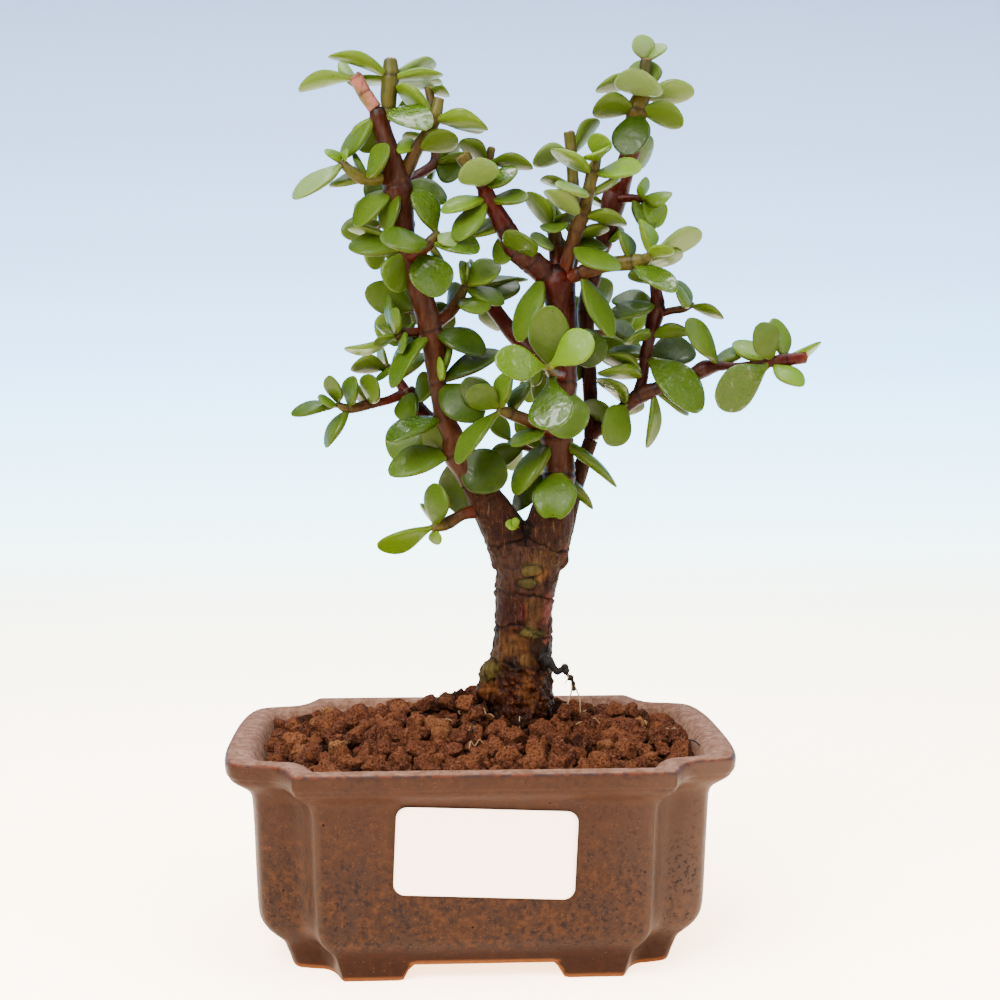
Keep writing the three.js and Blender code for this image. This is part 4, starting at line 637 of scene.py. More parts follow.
def smooth_line(points, step):
    """A Catmull-Rom line through rows of any width, sampled about every step along the first
    three columns. Gives the samples and the row of each point among them."""
    points = np.asarray(points, float)
    padded = np.vstack([2 * points[0] - points[1], points, 2 * points[-1] - points[-2]])
    samples = []
    rows = []
    for k in range(len(points) - 1):
        a, b, c, d = padded[k : k + 4]
        pieces = max(2, math.ceil(np.linalg.norm((c - b)[:3]) / step))
        rows.append(len(samples))
        for t in np.arange(pieces) / pieces:
            samples.append(
                0.5 * (2 * b + (c - a) * t + (2 * a - 5 * b + 4 * c - d) * t**2
                       + (3 * b - a - 3 * c + d) * t**3)
            )
    rows.append(len(samples))
    samples.append(points[-1])
    return np.array(samples), rows


def unit(vectors):
    return vectors / np.maximum(np.linalg.norm(vectors, axis=-1, keepdims=True), 1e-9)


def circles(centres, sides):
    """The heading at each centre, and the ways out from it to a ring of points that is carried
    along without twisting."""
    headings = unit(np.gradient(centres, axis=0))
    side = np.array([0.0, 1.0, 0.0]) if abs(headings[0][1]) < 0.8 else np.array([1.0, 0.0, 0.0])
    ways = []
    for heading in headings:
        side = unit(side - heading * side.dot(heading))
        ways.append(side)
    first = np.array(ways)
    second = np.cross(headings, first)
    turns = (2 * math.pi * np.arange(sides) / sides)[None, :, None]
    return headings, np.cos(turns) * first[:, None] + np.sin(turns) * second[:, None]


def ripple(points, scale, seed, waves=10):
    """A smooth random field between about -1 and 1, with features of about the given size."""
    dice = np.random.default_rng(seed)
    ways = unit(dice.normal(size=(waves, 3))) * dice.uniform(0.6, 1.6, (waves, 1))
    phases = dice.uniform(0, 2 * math.pi, waves)
    return np.sin(points @ ways.T * (2 * math.pi / scale / 2) + phases).sum(-1) / math.sqrt(waves)


def smoothstep(low, high, value):
    t = np.clip((np.asarray(value, float) - low) / (high - low), 0, 1)
    return t * t * (3 - 2 * t)


def bell(value, width):
    """1 where the value is 0, falling to nothing over about twice the width."""
    return np.exp(-((value / width) ** 2))


# ---- Material helpers -------------------------------------------------------------------------


def colour(code, depth=1.0):
    """Linear RGBA from a code such as 7a4e38, made deeper by a share of its light."""
    channels = [int(code[i : i + 2], 16) / 255 for i in (0, 2, 4)]
    linear = [c / 12.92 if c <= 0.04045 else ((c + 0.055) / 1.055) ** 2.4 for c in channels]
    return (*[c * depth for c in linear], 1.0)


class Paint:
    """Builds one material's nodes. Each method gives the socket that carries its result."""

    def __init__(self, name, depth=COLOUR_DEPTH, **settings):
        self.depth = depth
        self.material = bpy.data.materials.new(name)
        self.material.use_nodes = True
        self.tree = self.material.node_tree
        self.shader = self.tree.nodes["Principled BSDF"]
        self.place = self.node("ShaderNodeTexCoord").outputs["Object"]
        for key, value in settings.items():
            self.feed(self.shader.inputs[key.replace("_", " ")], value)

    def node(self, kind, inputs=None, **settings):
        made = self.tree.nodes.new(kind)
        for key, value in settings.items():
            setattr(made, key, value)
        for key, value in (inputs or {}).items():
            self.feed(made.inputs[key], value)
        return made

    def feed(self, socket, value):
        if isinstance(value, bpy.types.NodeSocket):
            self.tree.links.new(value, socket)
        else:
            socket.default_value = value

    def value(self, name, share=None):
        """What set_values gave to the points, times a share."""
        value = self.node("ShaderNodeAttribute", attribute_name=name).outputs["Fac"]
        return value if share is None else self.times(value, share)

    def moved(self, stretch):
        """The place on the piece, stretched along the axes."""
        inputs = {"Vector": self.place, "Scale": stretch}
        return self.node("ShaderNodeMapping", inputs).outputs["Vector"]

    def noise(self, size, detail=4, rough=0.55, vector=None, distortion=0.0):
        """Noise with features of a size in millimetres."""
        inputs = {
            "Vector": vector or self.place, "Scale": 1 / (size * MM), "Detail": detail,
            "Roughness": rough, "Distortion": distortion,
        }
        return self.node("ShaderNodeTexNoise", inputs).outputs["Fac"]

    def cells(self, size):
        """The distance to the middle of the nearest of cells of a size in millimetres."""
        inputs = {"Vector": self.place, "Scale": 1 / (size * MM)}
        return self.node("ShaderNodeTexVoronoi", inputs).outputs["Distance"]

    def ramp(self, factor, stops):
        """Colours by a factor: stops are (position, colour code)."""
        made = self.node("ShaderNodeValToRGB", {"Fac": factor})
        elements = made.color_ramp.elements
        while len(elements) < len(stops):
            elements.new(1.0)
        for element, (position, code) in zip(elements, stops):
            element.position = position
            element.color = colour(code, self.depth)
        return made.outputs["Color"]

    def range(self, factor, low, high, to_low=0.0, to_high=1.0):
        inputs = {
            "Value": factor, "From Min": low, "From Max": high, "To Min": to_low, "To Max": to_high,
        }
        return self.node("ShaderNodeMapRange", inputs).outputs["Result"]

    def maths(self, operation, first, second):
        return self.node("ShaderNodeMath", {0: first, 1: second}, operation=operation).outputs[0]

    def times(self, first, second):
        return self.maths("MULTIPLY", first, second)

    def mix(self, factor, first, second):
        """Two colours mixed. A colour is a code or a socket."""
        made = self.node("ShaderNodeMix", {0: factor}, data_type="RGBA")
        for socket, value in ((made.inputs[6], first), (made.inputs[7], second)):
            self.feed(socket, colour(value, self.depth) if isinstance(value, str) else value)
        return made.outputs[2]

    def over(self, base, *layers):
        """A base colour with layers over it: (how much of it shows, its colour)."""
        for share, layer in layers:
            base = self.mix(share, base, layer)
        return base

    def finish(self, base, roughness, bumps=()):
        """Sets the colour and roughness and stacks the bumps: (height socket, depth in mm)."""
        self.feed(self.shader.inputs["Base Color"], base)
        self.feed(self.shader.inputs["Roughness"], roughness)
        inputs = {}
        for height, depth in bumps:
            inputs.update({"Height": height, "Distance": depth * MM, "Strength": 1.0})
            inputs["Normal"] = self.node("ShaderNodeBump", inputs).outputs["Normal"]
        if inputs:
            self.feed(self.shader.inputs["Normal"], inputs["Normal"])
        return self.material


# ---- Materials --------------------------------------------------------------------------------


def glaze_material():
    """Brown reactive glaze. clay: bare foot. dusty: top and inside of the rim. edge_line: the red
    line along the rim's edges. crest: a painted highlight along the panel's crisp edges. low: how
    far down the wall. kiln: how near the right end, where the paler, greyer sheen of the light from
    the right is painted. plinth: painted shade, a dark band on the set-back foot under the panel."""
    paint = Paint("glaze", depth=0.145, Specular_IOR_Level=0.035)
    low = paint.value("low")
    clouds = paint.noise(9, detail=6, rough=0.62, distortion=0.4)
    blotches = paint.noise(1.8, detail=5, rough=0.7)
    speckle = paint.noise(0.6, detail=3, rough=0.7)
    pits = paint.range(paint.cells(6.5), 0.045, 0.03)
    dark_spots = paint.range(paint.noise(1.1, detail=5, rough=0.72), 0.53, 0.60)
    clusters = paint.times(dark_spots, paint.range(clouds, 0.42, 0.54, 0.25, 0.9))
    body = paint.ramp(blotches, [
        (0.30, "40332f"), (0.42, "54392c"), (0.52, "68452f"), (0.62, "7c5034"), (0.75, "6c4a38"),
    ])
    body = paint.over(
        body,
        (paint.range(clouds, 0.47, 0.65, 0, 0.8), "553f35"),
        (paint.range(low, 0.0, 0.7, 0.7, 0), paint.mix(clouds, "6e4c38", "664334")),
        # Painted sheen: the right end paler and greyer, as the light from the right falls on it.
        (paint.value("right_sheen", 0.6), "9c7c6a"),
        (paint.times(clusters, paint.range(low, 0.0, 0.8, 0.4, 1)), "282429"),
        (paint.range(speckle, 0.40, 0.28, 0, 0.65), "9c6a40"),
        # Painted shade: the set-back foot under the panel darker.
        (paint.value("foot_shade", 0.75), "4c2818"),
        (paint.times(paint.range(paint.cells(1.5), 0.11, 0.06), 0.45), "b08a70"),
    )
    dust = paint.mix(paint.range(blotches, 0.4, 0.65), "a8765c", "e0ac92")
    dust = paint.mix(paint.range(speckle, 0.6, 0.75, 0, 0.5), dust, "7a4c3c")
    line = paint.mix(paint.range(paint.noise(1.6), 0.45, 0.55), "8a3c1c", "2c2230")
    dusty, clay = paint.value("dusty"), paint.value("clay")
    base = paint.over(
        body,
        (dusty, dust),
        # Painted highlight along the panel's crisp edges.
        (paint.value("edge_highlight", 0.4), "8c6e5a"),
        (paint.value("edge_line", 0.8), line),
        (clay, paint.mix(paint.noise(0.6), "a85a2c", "d89058")),
        (pits, "0c0807"),
    )
    rough_parts = paint.times(paint.maths("MAXIMUM", clay, dusty), 0.85)
    roughness = paint.maths("MAXIMUM", paint.range(blotches, 0.3, 0.7, 0.40, 0.55), rough_parts)
    bumps = [(paint.noise(3.5, detail=2), 0.12), (speckle, 0.04), (pits, -0.15)]
    return paint.finish(base, roughness, bumps)


def paper_material():
    """Coated white paper with a faint fibre and worn, slightly grey edges."""
    paint = Paint("label_paper", depth=1.0, Specular_IOR_Level=0.4)
    fibre = paint.noise(0.25, detail=3)
    cloud = paint.noise(7, detail=2)
    base = paint.over(
        paint.mix(cloud, "f6e2d6", "f2dacd"),
        (paint.range(fibre, 0.55, 0.8, 0, 0.3), "e4d8ce"),
        (paint.value("rim", 0.35), "c9bdb2"),
    )
    return paint.finish(base, 0.42, [(fibre, 0.012), (cloud, 0.05)])


def net_material():
    paint = Paint("drain_net", Specular_IOR_Level=0.4)
    grain = paint.noise(0.5)
    return paint.finish(paint.mix(grain, "22332a", "31473a"), 0.55, [(grain, 0.02)])


def granule_material():
    """Baked clay. tone: how light a granule is. wet: dark damp granules."""
    paint = Paint("baked_clay", depth=0.235, Specular_IOR_Level=0.02)
    fine = paint.noise(0.6, detail=6, rough=0.85)
    coarse = paint.noise(2.2, detail=3)
    pores = paint.range(paint.cells(0.7), 0.15, 0.38)
    base = paint.ramp(paint.value("tone"), [
        (0.0, "46261a"), (0.25, "613221"), (0.5, "7a432b"), (0.75, "925534"), (1.0, "b07648"),
    ])
    base = paint.over(
        base,
        (paint.range(fine, 0.48, 0.34, 0, 0.9), "280c05"),
        (paint.range(fine, 0.50, 0.66, 0, 0.7), "bc8a6c"),
        (paint.range(coarse, 0.5, 0.7, 0, 0.35), "a05c30"),
        (paint.times(paint.maths("SUBTRACT", 1.0, pores), 0.6), "200c07"),
        (paint.value("wet"), "140d0c"),
    )
    return paint.finish(base, 0.95, [(fine, 0.7), (pores, 0.45), (coarse, 0.25)])


def root_material():
    """Roots in the open. dark: black ones."""
    paint = Paint("rootlet", depth=0.2, Specular_IOR_Level=0.1)
    grain = paint.noise(0.8, vector=paint.moved((1, 1, 0.3)))
    base = paint.over(paint.mix(grain, "b98d5b", "dfc59a"), (paint.value("dark"), "17110f"))
    return paint.finish(base, 0.7, [(grain, 0.2)])


def bark_material():
    """The trunk's bark. tint: its colour from place to place, with painted shade in its near-black
    patches. crack: how deep in a fissure, painted dark: partly the inner bark's colour and partly
    painted shade in the fissures, the grooves round the bud scars and between the flakes. damp: the
    wet foot. scar: smooth green bud scars."""
    paint = Paint("bark", depth=BARK_DEPTH, Specular_IOR_Level=0.04)
    tint = paint.node("ShaderNodeAttribute", attribute_name="tint").outputs["Color"]
    grain = paint.noise(0.9, detail=6, rough=0.7, vector=paint.moved((1, 1, 0.25)))
    streaks = paint.noise(0.45, detail=4, vector=paint.moved((1, 1, 0.1)))
    flecks = paint.noise(0.9, detail=6, rough=0.8)
    crumbs = paint.noise(0.4, detail=4, rough=0.7)
    damp = paint.value("damp")
    dry = paint.maths("SUBTRACT", 1.0, damp)
    damp_bark = paint.ramp(flecks, [
        (0.36, "0c0403"), (0.47, "3c0e06"), (0.56, "8a4414"), (0.68, "d89c54"),
    ])
    base = paint.over(
        tint,
        (paint.range(grain, 0.54, 0.36, 0, 0.85), "140604"),
        (paint.range(flecks, 0.54, 0.68, 0, 0.5), "a8703c"),
        (paint.range(flecks, 0.46, 0.34, 0, 0.6), "1a0805"),
        (paint.times(paint.range(streaks, 0.58, 0.72, 0, 0.55), dry), "b88e68"),
        (paint.times(damp, 0.6), damp_bark),
        (paint.value("scar", 0.35), paint.mix(crumbs, "4c4e1a", "a88c48")),
        # Dark cracks: partly the inner bark's colour, partly painted shade in them.
        (paint.value("crack"), "0a0403"),
    )
    roughness = paint.maths("ADD", paint.range(flecks, 0.3, 0.7, 0.45, 0.7), paint.times(damp, -0.3))
    return paint.finish(base, roughness, [(grain, 0.35), (flecks, 0.3), (streaks, 0.08)])


def stem_material():
    """Stems. growth: see STEM_GROWTH. pink: a pruned stub's pink skin. crack: dark node rings, and
    painted shade on the end of a forked stem. cut: pruned ends."""
    paint = Paint("stem", depth=0.12, Specular_IOR_Level=0.055)
    grain = paint.noise(0.7, detail=5, rough=0.6, vector=paint.moved((1, 1, 0.22)))
    cloud = paint.noise(5, detail=4, rough=0.6)
    base = paint.ramp(paint.value("growth"), [
        (0.0, "603318"), (0.16, "5c2f1b"), (0.3, "521c10"), (0.42, "661a10"), (0.5, "7c2210"),
        (0.58, "6c3a18"), (0.7, "6e5420"), (0.85, "8c8830"), (1.0, "5c6420"),
    ])
    base = paint.over(
        base,
        (paint.range(cloud, 0.5, 0.68, 0, 0.4), "6a4420"),
        (paint.value("pink"), paint.mix(paint.range(cloud, 0.36, 0.56), "b49458", "ffa08c")),
        (paint.range(grain, 0.52, 0.75, 0, 0.4), "94663c"),
        (paint.range(grain, 0.48, 0.3, 0, 0.55), "240c08"),
        # Dark node rings, and painted shade on the ends of forked stems.
        (paint.value("crack", 0.85), "1c0a06"),
        (paint.value("cut"), paint.mix(grain, "e6bc84", "a0683c")),
    )
    roughness = paint.range(cloud, 0.35, 0.65, 0.26, 0.5)
    return paint.finish(base, roughness, [(grain, 0.12), (cloud, 0.2)])


def leaf_material():
    """A fleshy leaf. tone: how light it is, with painted shade on the dark leaves and painted light on
    the pale ones. young: yellow-green new growth. wet: water on it.
    rim: 1 along the margin. upper: 1 on the upper face. along: from the foot to the tip."""
    paint = Paint(
        "leaf", depth=0.095, Specular_IOR_Level=0.06, Coat_Roughness=0.04, Coat_IOR=1.33,
        Subsurface_Weight=0.3, Subsurface_Scale=0.0015, Subsurface_Radius=(0.6, 1.0, 0.12),
    )
    tone, wet = paint.value("tone"), paint.value("wet")
    cloud = paint.noise(5, detail=3)
    fine = paint.noise(0.45, detail=4)
    old = paint.ramp(tone, [
        (0.0, "40600c"), (0.25, "5c850e"), (0.5, "7ba620"), (0.8, "a6da52"), (1.0, "ccfa94"),
    ])
    mottle = paint.mix(tone, "7a9c18", "c8e660")
    under = paint.times(paint.maths("SUBTRACT", 1.0, paint.value("upper")), 0.35)
    margin = paint.range(paint.value("rim"), 0.45, 1.0, 0, 0.7)
    specks = paint.range(paint.cells(2.6), 0.075, 0.05)
    base = paint.over(
        old,
        (paint.value("young"), "aae800"),
        (paint.range(cloud, 0.4, 0.7, 0, 0.3), mottle),
        (paint.range(fine, 0.52, 0.8, 0, 0.3), mottle),
        (under, paint.mix(tone, "78a61c", "b2e040")),
        (paint.range(paint.value("along"), 0.25, 0.0, 0, 0.6), "b4b84c"),
        (paint.times(margin, paint.range(paint.noise(9, detail=2), 0.42, 0.56)), "8a4a2c"),
        (paint.times(specks, paint.range(paint.noise(4), 0.52, 0.56)), "151a0c"),
        (paint.times(wet, 0.5), "4c7a10"),
    )
    puddles = paint.range(paint.noise(4, detail=3, distortion=1.5), 0.57, 0.60, 0.12, 1)
    paint.feed(paint.shader.inputs["Coat Weight"], paint.times(wet, puddles))
    roughness = paint.maths("SUBTRACT", 0.42, paint.times(wet, 0.2))
    ripples = paint.times(wet, paint.noise(1.6, detail=2, rough=0.5, distortion=0.8))
    bumps = [(ripples, 0.55), (paint.noise(3, detail=2), 0.16), (fine, 0.025)]
    return paint.finish(base, roughness, bumps)


def floor_material():
    """Warm white paper that turns pale blue up the backdrop. way: how far along the sweep. It
    glows as paper does that is lit from behind."""
    paint = Paint("floor", depth=1.0, Specular_IOR_Level=0.1, Emission_Strength=BACKDROP_GLOW)
    way = paint.value("way")
    base = paint.ramp(way, [(0.0, "f4ecdf"), (0.3, "eef2f2"), (0.5, "c6d8e8"), (0.7, "8494ae")])
    glow = paint.ramp(way, [
        (0.0, "deb48e"), (0.11, "dcc6a0"), (0.2, "d0d2b8"), (0.36, "c6eeee"), (0.43, "a8e2f6"),
        (0.517, "6eb0e4"), (0.57, "5a88bc"), (0.64, "48628c"), (0.72, "3c4664"),
    ])
    paint.feed(paint.shader.inputs["Emission Color"], glow)
    grain = paint.times(paint.noise(1.5, detail=3), 0.06)
    return paint.finish(paint.mix(grain, base, "d8c8b4"), 0.85)


# ---- Pot --------------------------------------------------------------------------------------


def pot_outline():
    """The outline in shares, anticlockwise from above, with each point's distance to the nearest
    edge of a panel in millimetres. The panel is flat, its edge is crisp and the rest is smooth."""
    scale = np.array([POT_HALF_LENGTH, POT_HALF_DEPTH])
    panel = [(PANEL_SHARE * t, 1.0) for t in np.linspace(0, 1, 27)[:-1]]
    start, end = np.array(FLUTE_AND_LOBE[:2])
    crisp = [start + (end - start) * t for t in (0.0, 0.35, 0.7)]
    corner = [(*(share * scale), 0) for share in np.array(FLUTE_AND_LOBE[1:])]
    rest, _ = smooth_line(corner, OUTLINE_STEP)
    quarter = np.vstack([panel, crisp, rest[:, :2] / scale])
    to_edge = np.hypot(*((quarter - (PANEL_SHARE, 1)) * scale).T)
    there, back = quarter[:-1], quarter[1:][::-1]
    runs = [(there, 1, -1), (back, 1, 1), (there, -1, 1), (back, -1, -1)]
    points = np.vstack([run * (sx, sy) for run, sx, sy in runs])
    return points, np.concatenate([to_edge[:-1], to_edge[1:][::-1]] * 2)


def pot_rows():
    """[height, inset of the sides, inset of the front, part], from the underside out round the
    foot, up the outside, over the lip and down inside to the floor."""
    side, front = FOOT_INNER_INSETS
    rows = [
        (UNDERSIDE_HEIGHT, side + 1.2, front + 1, "under"), (0.6, side + 0.5, front + 0.4, "under"),
        (0.0, side, front, "under"),
    ]
    for part, profile, step in (("outer", OUTER_PROFILE, 0.9), ("inner", INNER_PROFILE, 1.2)):
        line, _ = smooth_line([(side, front, height) for height, side, front in profile], step)
        rows += [(height, side, front, part) for side, front, height in line]
    return rows


def foot_lift(x, y):
    """How far the lower edge stands over the table: nothing at a foot, the apron between."""
    front = smoothstep(*FRONT_APRON, np.abs(x))
    side = smoothstep(*SIDE_APRON, np.abs(y))
    return APRON_HEIGHT * (1 - front * side)


def glaze_values(part, height, side, x, rise, to_edge):
    """What glaze_material asks for at each point of a ring. rise: how far over the lower edge."""
    outer, inner = part == "outer", part == "inner"
    bare = smoothstep(CLAY_BAND + 0.25, CLAY_BAND - 0.25, rise) * (height < 6)
    on_panel = smoothstep(7, 11, height) * smoothstep(44, 38, height) * outer
    outer_line = bell(height - 47.55, 0.25) * outer
    inner_line = bell(height - 47.7, 0.15) * 0.25 * (inner and side > 5)
    return {
        "clay": 1.0 if part == "under" else bare,
        "dusty": 1.0 if inner else smoothstep(47.4, 47.8, height),
        "edge_line": max(outer_line, inner_line),
        # Painted highlight along the panel's crisp edges.
        "edge_highlight": bell(to_edge, 0.7) * on_panel,
        "low": smoothstep(40, 12, height),
        # Painted sheen: the right end paler, as the light from the right falls on it.
        "right_sheen": smoothstep(22, 60, x),
        # Painted shade: the set-back foot under the panel darker.
        "foot_shade": smoothstep(8.5, 6.5, height) * outer,
    }


def pot_shape():
    outline, to_edge = pot_outline()
    rings = []
    values = []
    for height, side, front, part in pot_rows():
        x, y = (outline * (POT_HALF_LENGTH - side, POT_HALF_DEPTH - front)).T
        lift = foot_lift(x, y)
        z = np.full(len(outline), float(height))
        if part != "inner" and height < UNDERSIDE_HEIGHT:
            z = lift + height * (UNDERSIDE_HEIGHT - lift) / UNDERSIDE_HEIGHT
        rings.append(np.column_stack([x, y, z]))
        row = glaze_values(part, height, side, x, z - lift, to_edge)
        values.append({name: np.broadcast_to(value, len(outline)) for name, value in row.items()})
    points = np.vstack(rings)
    points = (points + pot_waviness(points)).reshape(len(rings), -1, 3)
    shape = Shape()
    joined = {name: np.concatenate([row[name] for row in values]) for name in values[0]}
    shape.add_rings(points, **joined)
    return shape


def pot_waviness(points):
    """The small unevenness of a pressed and fired wall, none on the table."""
    fade = smoothstep(0.5, 6, points[:, 2]) * smoothstep(POT_HEIGHT, POT_HEIGHT - 3, points[:, 2])
    wave = ripple(points, 30, 5) * 0.12 + ripple(points, 9, 6) * 0.04
    outward = unit(points * (1, 1, 0))
    return -outward * (np.abs(wave) * fade)[:, None]


def drill_drain_holes(pot):
    for side in (-1, 1):
        centre = POT_CENTRE + np.array([side * DRAIN_HOLE_SPACING / 2, 0, FLOOR_HEIGHT / 2]) * MM
        bpy.ops.mesh.primitive_cylinder_add(
            vertices=48, radius=DRAIN_HOLE_RADIUS * MM, depth=3 * FLOOR_HEIGHT * MM, location=centre,
        )
        drill = bpy.context.object
        cut = pot.modifiers.new("drain_hole", "BOOLEAN")
        cut.operation = "DIFFERENCE"
        cut.solver = "MANIFOLD"
        cut.object = drill
        apply_modifiers(pot)
        bpy.data.objects.remove(drill)


def make_pot():
    pot = new_piece("glazed_pot", pot_shape(), [glaze_material()], "glazed_ceramic", ["pot"])
    drill_drain_holes(pot)


# ---- Label and drain nets ---------------------------------------------------------------------


def panel_depth(height):
    """How far the front panel stands from the middle of the pot at a height."""
    heights, _, insets = zip(*OUTER_PROFILE)
    return POT_HALF_DEPTH - np.interp(height, heights, insets)


def make_label():
    """A sheet that bends with the panel: rows up the label, each a loop round its two faces."""
    length, height = LABEL_SIZE
    corner_rises = LABEL_CORNER * (1 - np.cos(np.linspace(0, math.pi / 2, 9)))
    rises = np.concatenate([
        corner_rises, np.linspace(LABEL_CORNER, height - LABEL_CORNER, 30)[1:-1],
        (height - corner_rises)[::-1],
    ])
    turn = math.radians(LABEL_TILT)
    rings = []
    rims = []
    for rise in rises:
        to_end = min(rise, height - rise)
        into_corner = max(LABEL_CORNER - to_end, 0)
        half = length / 2 - LABEL_CORNER + math.sqrt(LABEL_CORNER**2 - into_corner**2)
        across = np.linspace(-1, 1, 41) * half
        up = rise - height / 2
        x = LABEL_CENTRE[0] + across * math.cos(turn) - up * math.sin(turn)
        z = LABEL_CENTRE[1] + across * math.sin(turn) + up * math.cos(turn)
        back = -panel_depth(z) - LABEL_GAP
        front = np.column_stack([x, back - LABEL_THICKNESS, z])
        rings.append(np.vstack([front, np.column_stack([x, back, z])[::-1]]))
        rim = smoothstep(0.5, 0.0, np.minimum(half - np.abs(across), to_end))
        rims += [rim, rim[::-1]]
    shape = Shape()
    shape.add_rings(rings, rim=np.concatenate(rims))
    new_piece("label_sheet", shape, [paper_material()], "label_paper", ["label"])


def make_drain_nets():
    """A moulded net on the floor over each drainage hole."""
    paint = net_material()
    radius = NET_THICKNESS / 2
    reach = NET_SIDE / 2 - 0.1
    for name, side in (("left", -1), ("right", 1)):
        shape = Shape()
        middle = np.array([side * DRAIN_HOLE_SPACING / 2, 0, FLOOR_HEIGHT + 0.35 + radius])
        for place in np.linspace(-1, 1, NET_BARS) * (NET_SIDE / 2 - 0.6):
            for ends in (((-reach, place), (reach, place)), ((place, -reach), (place, reach))):
                line = [(*(middle + (x, y, 0)), radius * 0.95) for x, y in ends]
                add_tube(shape, line, 8, 4.0)
        new_piece("drain_net_" + name, shape, [paint], "plastic_net", ["drain_screen_" + name])


# ---- Stems and leaves -------------------------------------------------------------------------


def add_tube(shape, joints, sides, step, **values):
    """A plain closed tube through joints of [x, y, z, radius]."""
    line, _ = smooth_line(joints, step)
    _, around = circles(line[:, :3], sides)
    shape.add_rings(line[:, None, :3] + around * line[:, 3, None, None], **values)


def add_stem(shape, joints, rings, growth, seed, pink=False, pruned=False, forked=False):
    """A stem with swollen node rings, a slightly uneven skin and a pruned or a growing end.

    rings are the joints that are nodes. growth is the colour at the foot, at the end and how late
    it turns. The end of a forked stem is painted dark: painted shade, as it lies between the stems
    that grow from it.
    """
    sides = 24 if max(joint[3] for joint in joints) > THICK_STEM else 16
    line, rows = smooth_line(joints, STEM_STEP)
    centres, radii = line[:, :3], line[:, 3].copy()
    along = np.append(0, np.cumsum(np.linalg.norm(np.diff(centres, axis=0), axis=1)))
    crack = np.zeros(len(line))
    for joint in rings:
        away = along - along[rows[joint]]
        radii *= 1 + 0.07 * bell(away, 1.3) - 0.09 * bell(away, 0.35)
        crack = np.maximum(crack, bell(away, 0.4))
    headings, around = circles(centres, sides)
    flat = centres[:, None] + around * radii[:, None, None]
    skin = 1 + 0.035 * ripple(flat, 5, seed) + 0.015 * ripple(flat, 1.6, seed + 1)
    points = centres[:, None] + around * (radii[:, None] * skin)[..., None]
    ring_growth = growth[0] + (growth[1] - growth[0]) * (along / along[-1]) ** growth[2]
    ring_crack = np.clip(crack * (0.65 + 0.35 * np.sin(3 * along)), 0, 1)
    end, bare = stem_end(centres[-1], headings[-1], around[-1], radii[-1], pruned, seed)
    tail = len(end)
    shape.add_rings(
        [*points, *end], pink=pink, cut=np.repeat([0] * len(line) + bare, sides),
        growth=np.repeat(np.append(ring_growth, [growth[1]] * tail), sides),
        # The end of a forked stem gets painted shade.
        crack=np.repeat(np.append(ring_crack, [float(forked)] * tail), sides),
    )


def stem_end(centre, heading, around, radius, pruned, seed):
    """Rings that close a stem, and how bare the wood of each is: a pruned end has a low ragged rim
    round a sunken middle, a growing end is a small dome."""
    if pruned:
        dice = np.random.default_rng(seed)
        ragged = dice.uniform(-0.12, 0.22, len(around))[:, None] * heading
        profile = [(0.97, 0.25, 0), (0.86, 0.42, 1), (0.62, 0.1, 0.5), (0.2, -0.1, 0)]
        rings = [
            centre + around * radius * share + heading * rise + ragged * rough
            for share, rise, rough in profile
        ]
        return rings, [0.3, 1, 1, 1]
    dome = [(0.92, 0.3), (0.7, 0.55), (0.4, 0.7), (0.12, 0.75)]
    rings = [centre + around * radius * share + heading * radius * rise for share, rise in dome]
    return rings, [0, 0, 0, 0]


def face_from_roll(base, tip, roll, heading):
    """Which way a leaf's upper face looks: roll 0 to the front, 90 up, 180 to the back."""
    along = unit(tip - base)
    front = np.array([0.0, -1.0, 0.0])
    front = unit(front - along * front.dot(along))
    up = np.cross(along, front)
    if up.dot(heading) < 0:
        up = -up
    turn = math.radians(roll)
    return front * math.cos(turn) + up * math.sin(turn)


def leaf_section():
    """A leaf cut across: points round it in shares of its half width and its thickness, fuller
    below than above, and which of them are its margins."""
    turns = 2 * math.pi * np.arange(LEAF_SIDES) / LEAF_SIDES
    x = np.sign(np.cos(turns)) * np.abs(np.cos(turns)) ** 0.66
    z = np.sign(np.sin(turns)) * np.abs(np.sin(turns)) ** 0.74
    return x, np.where(z > 0, z * 0.42, z * 0.58), np.abs(np.cos(turns)) > 0.999


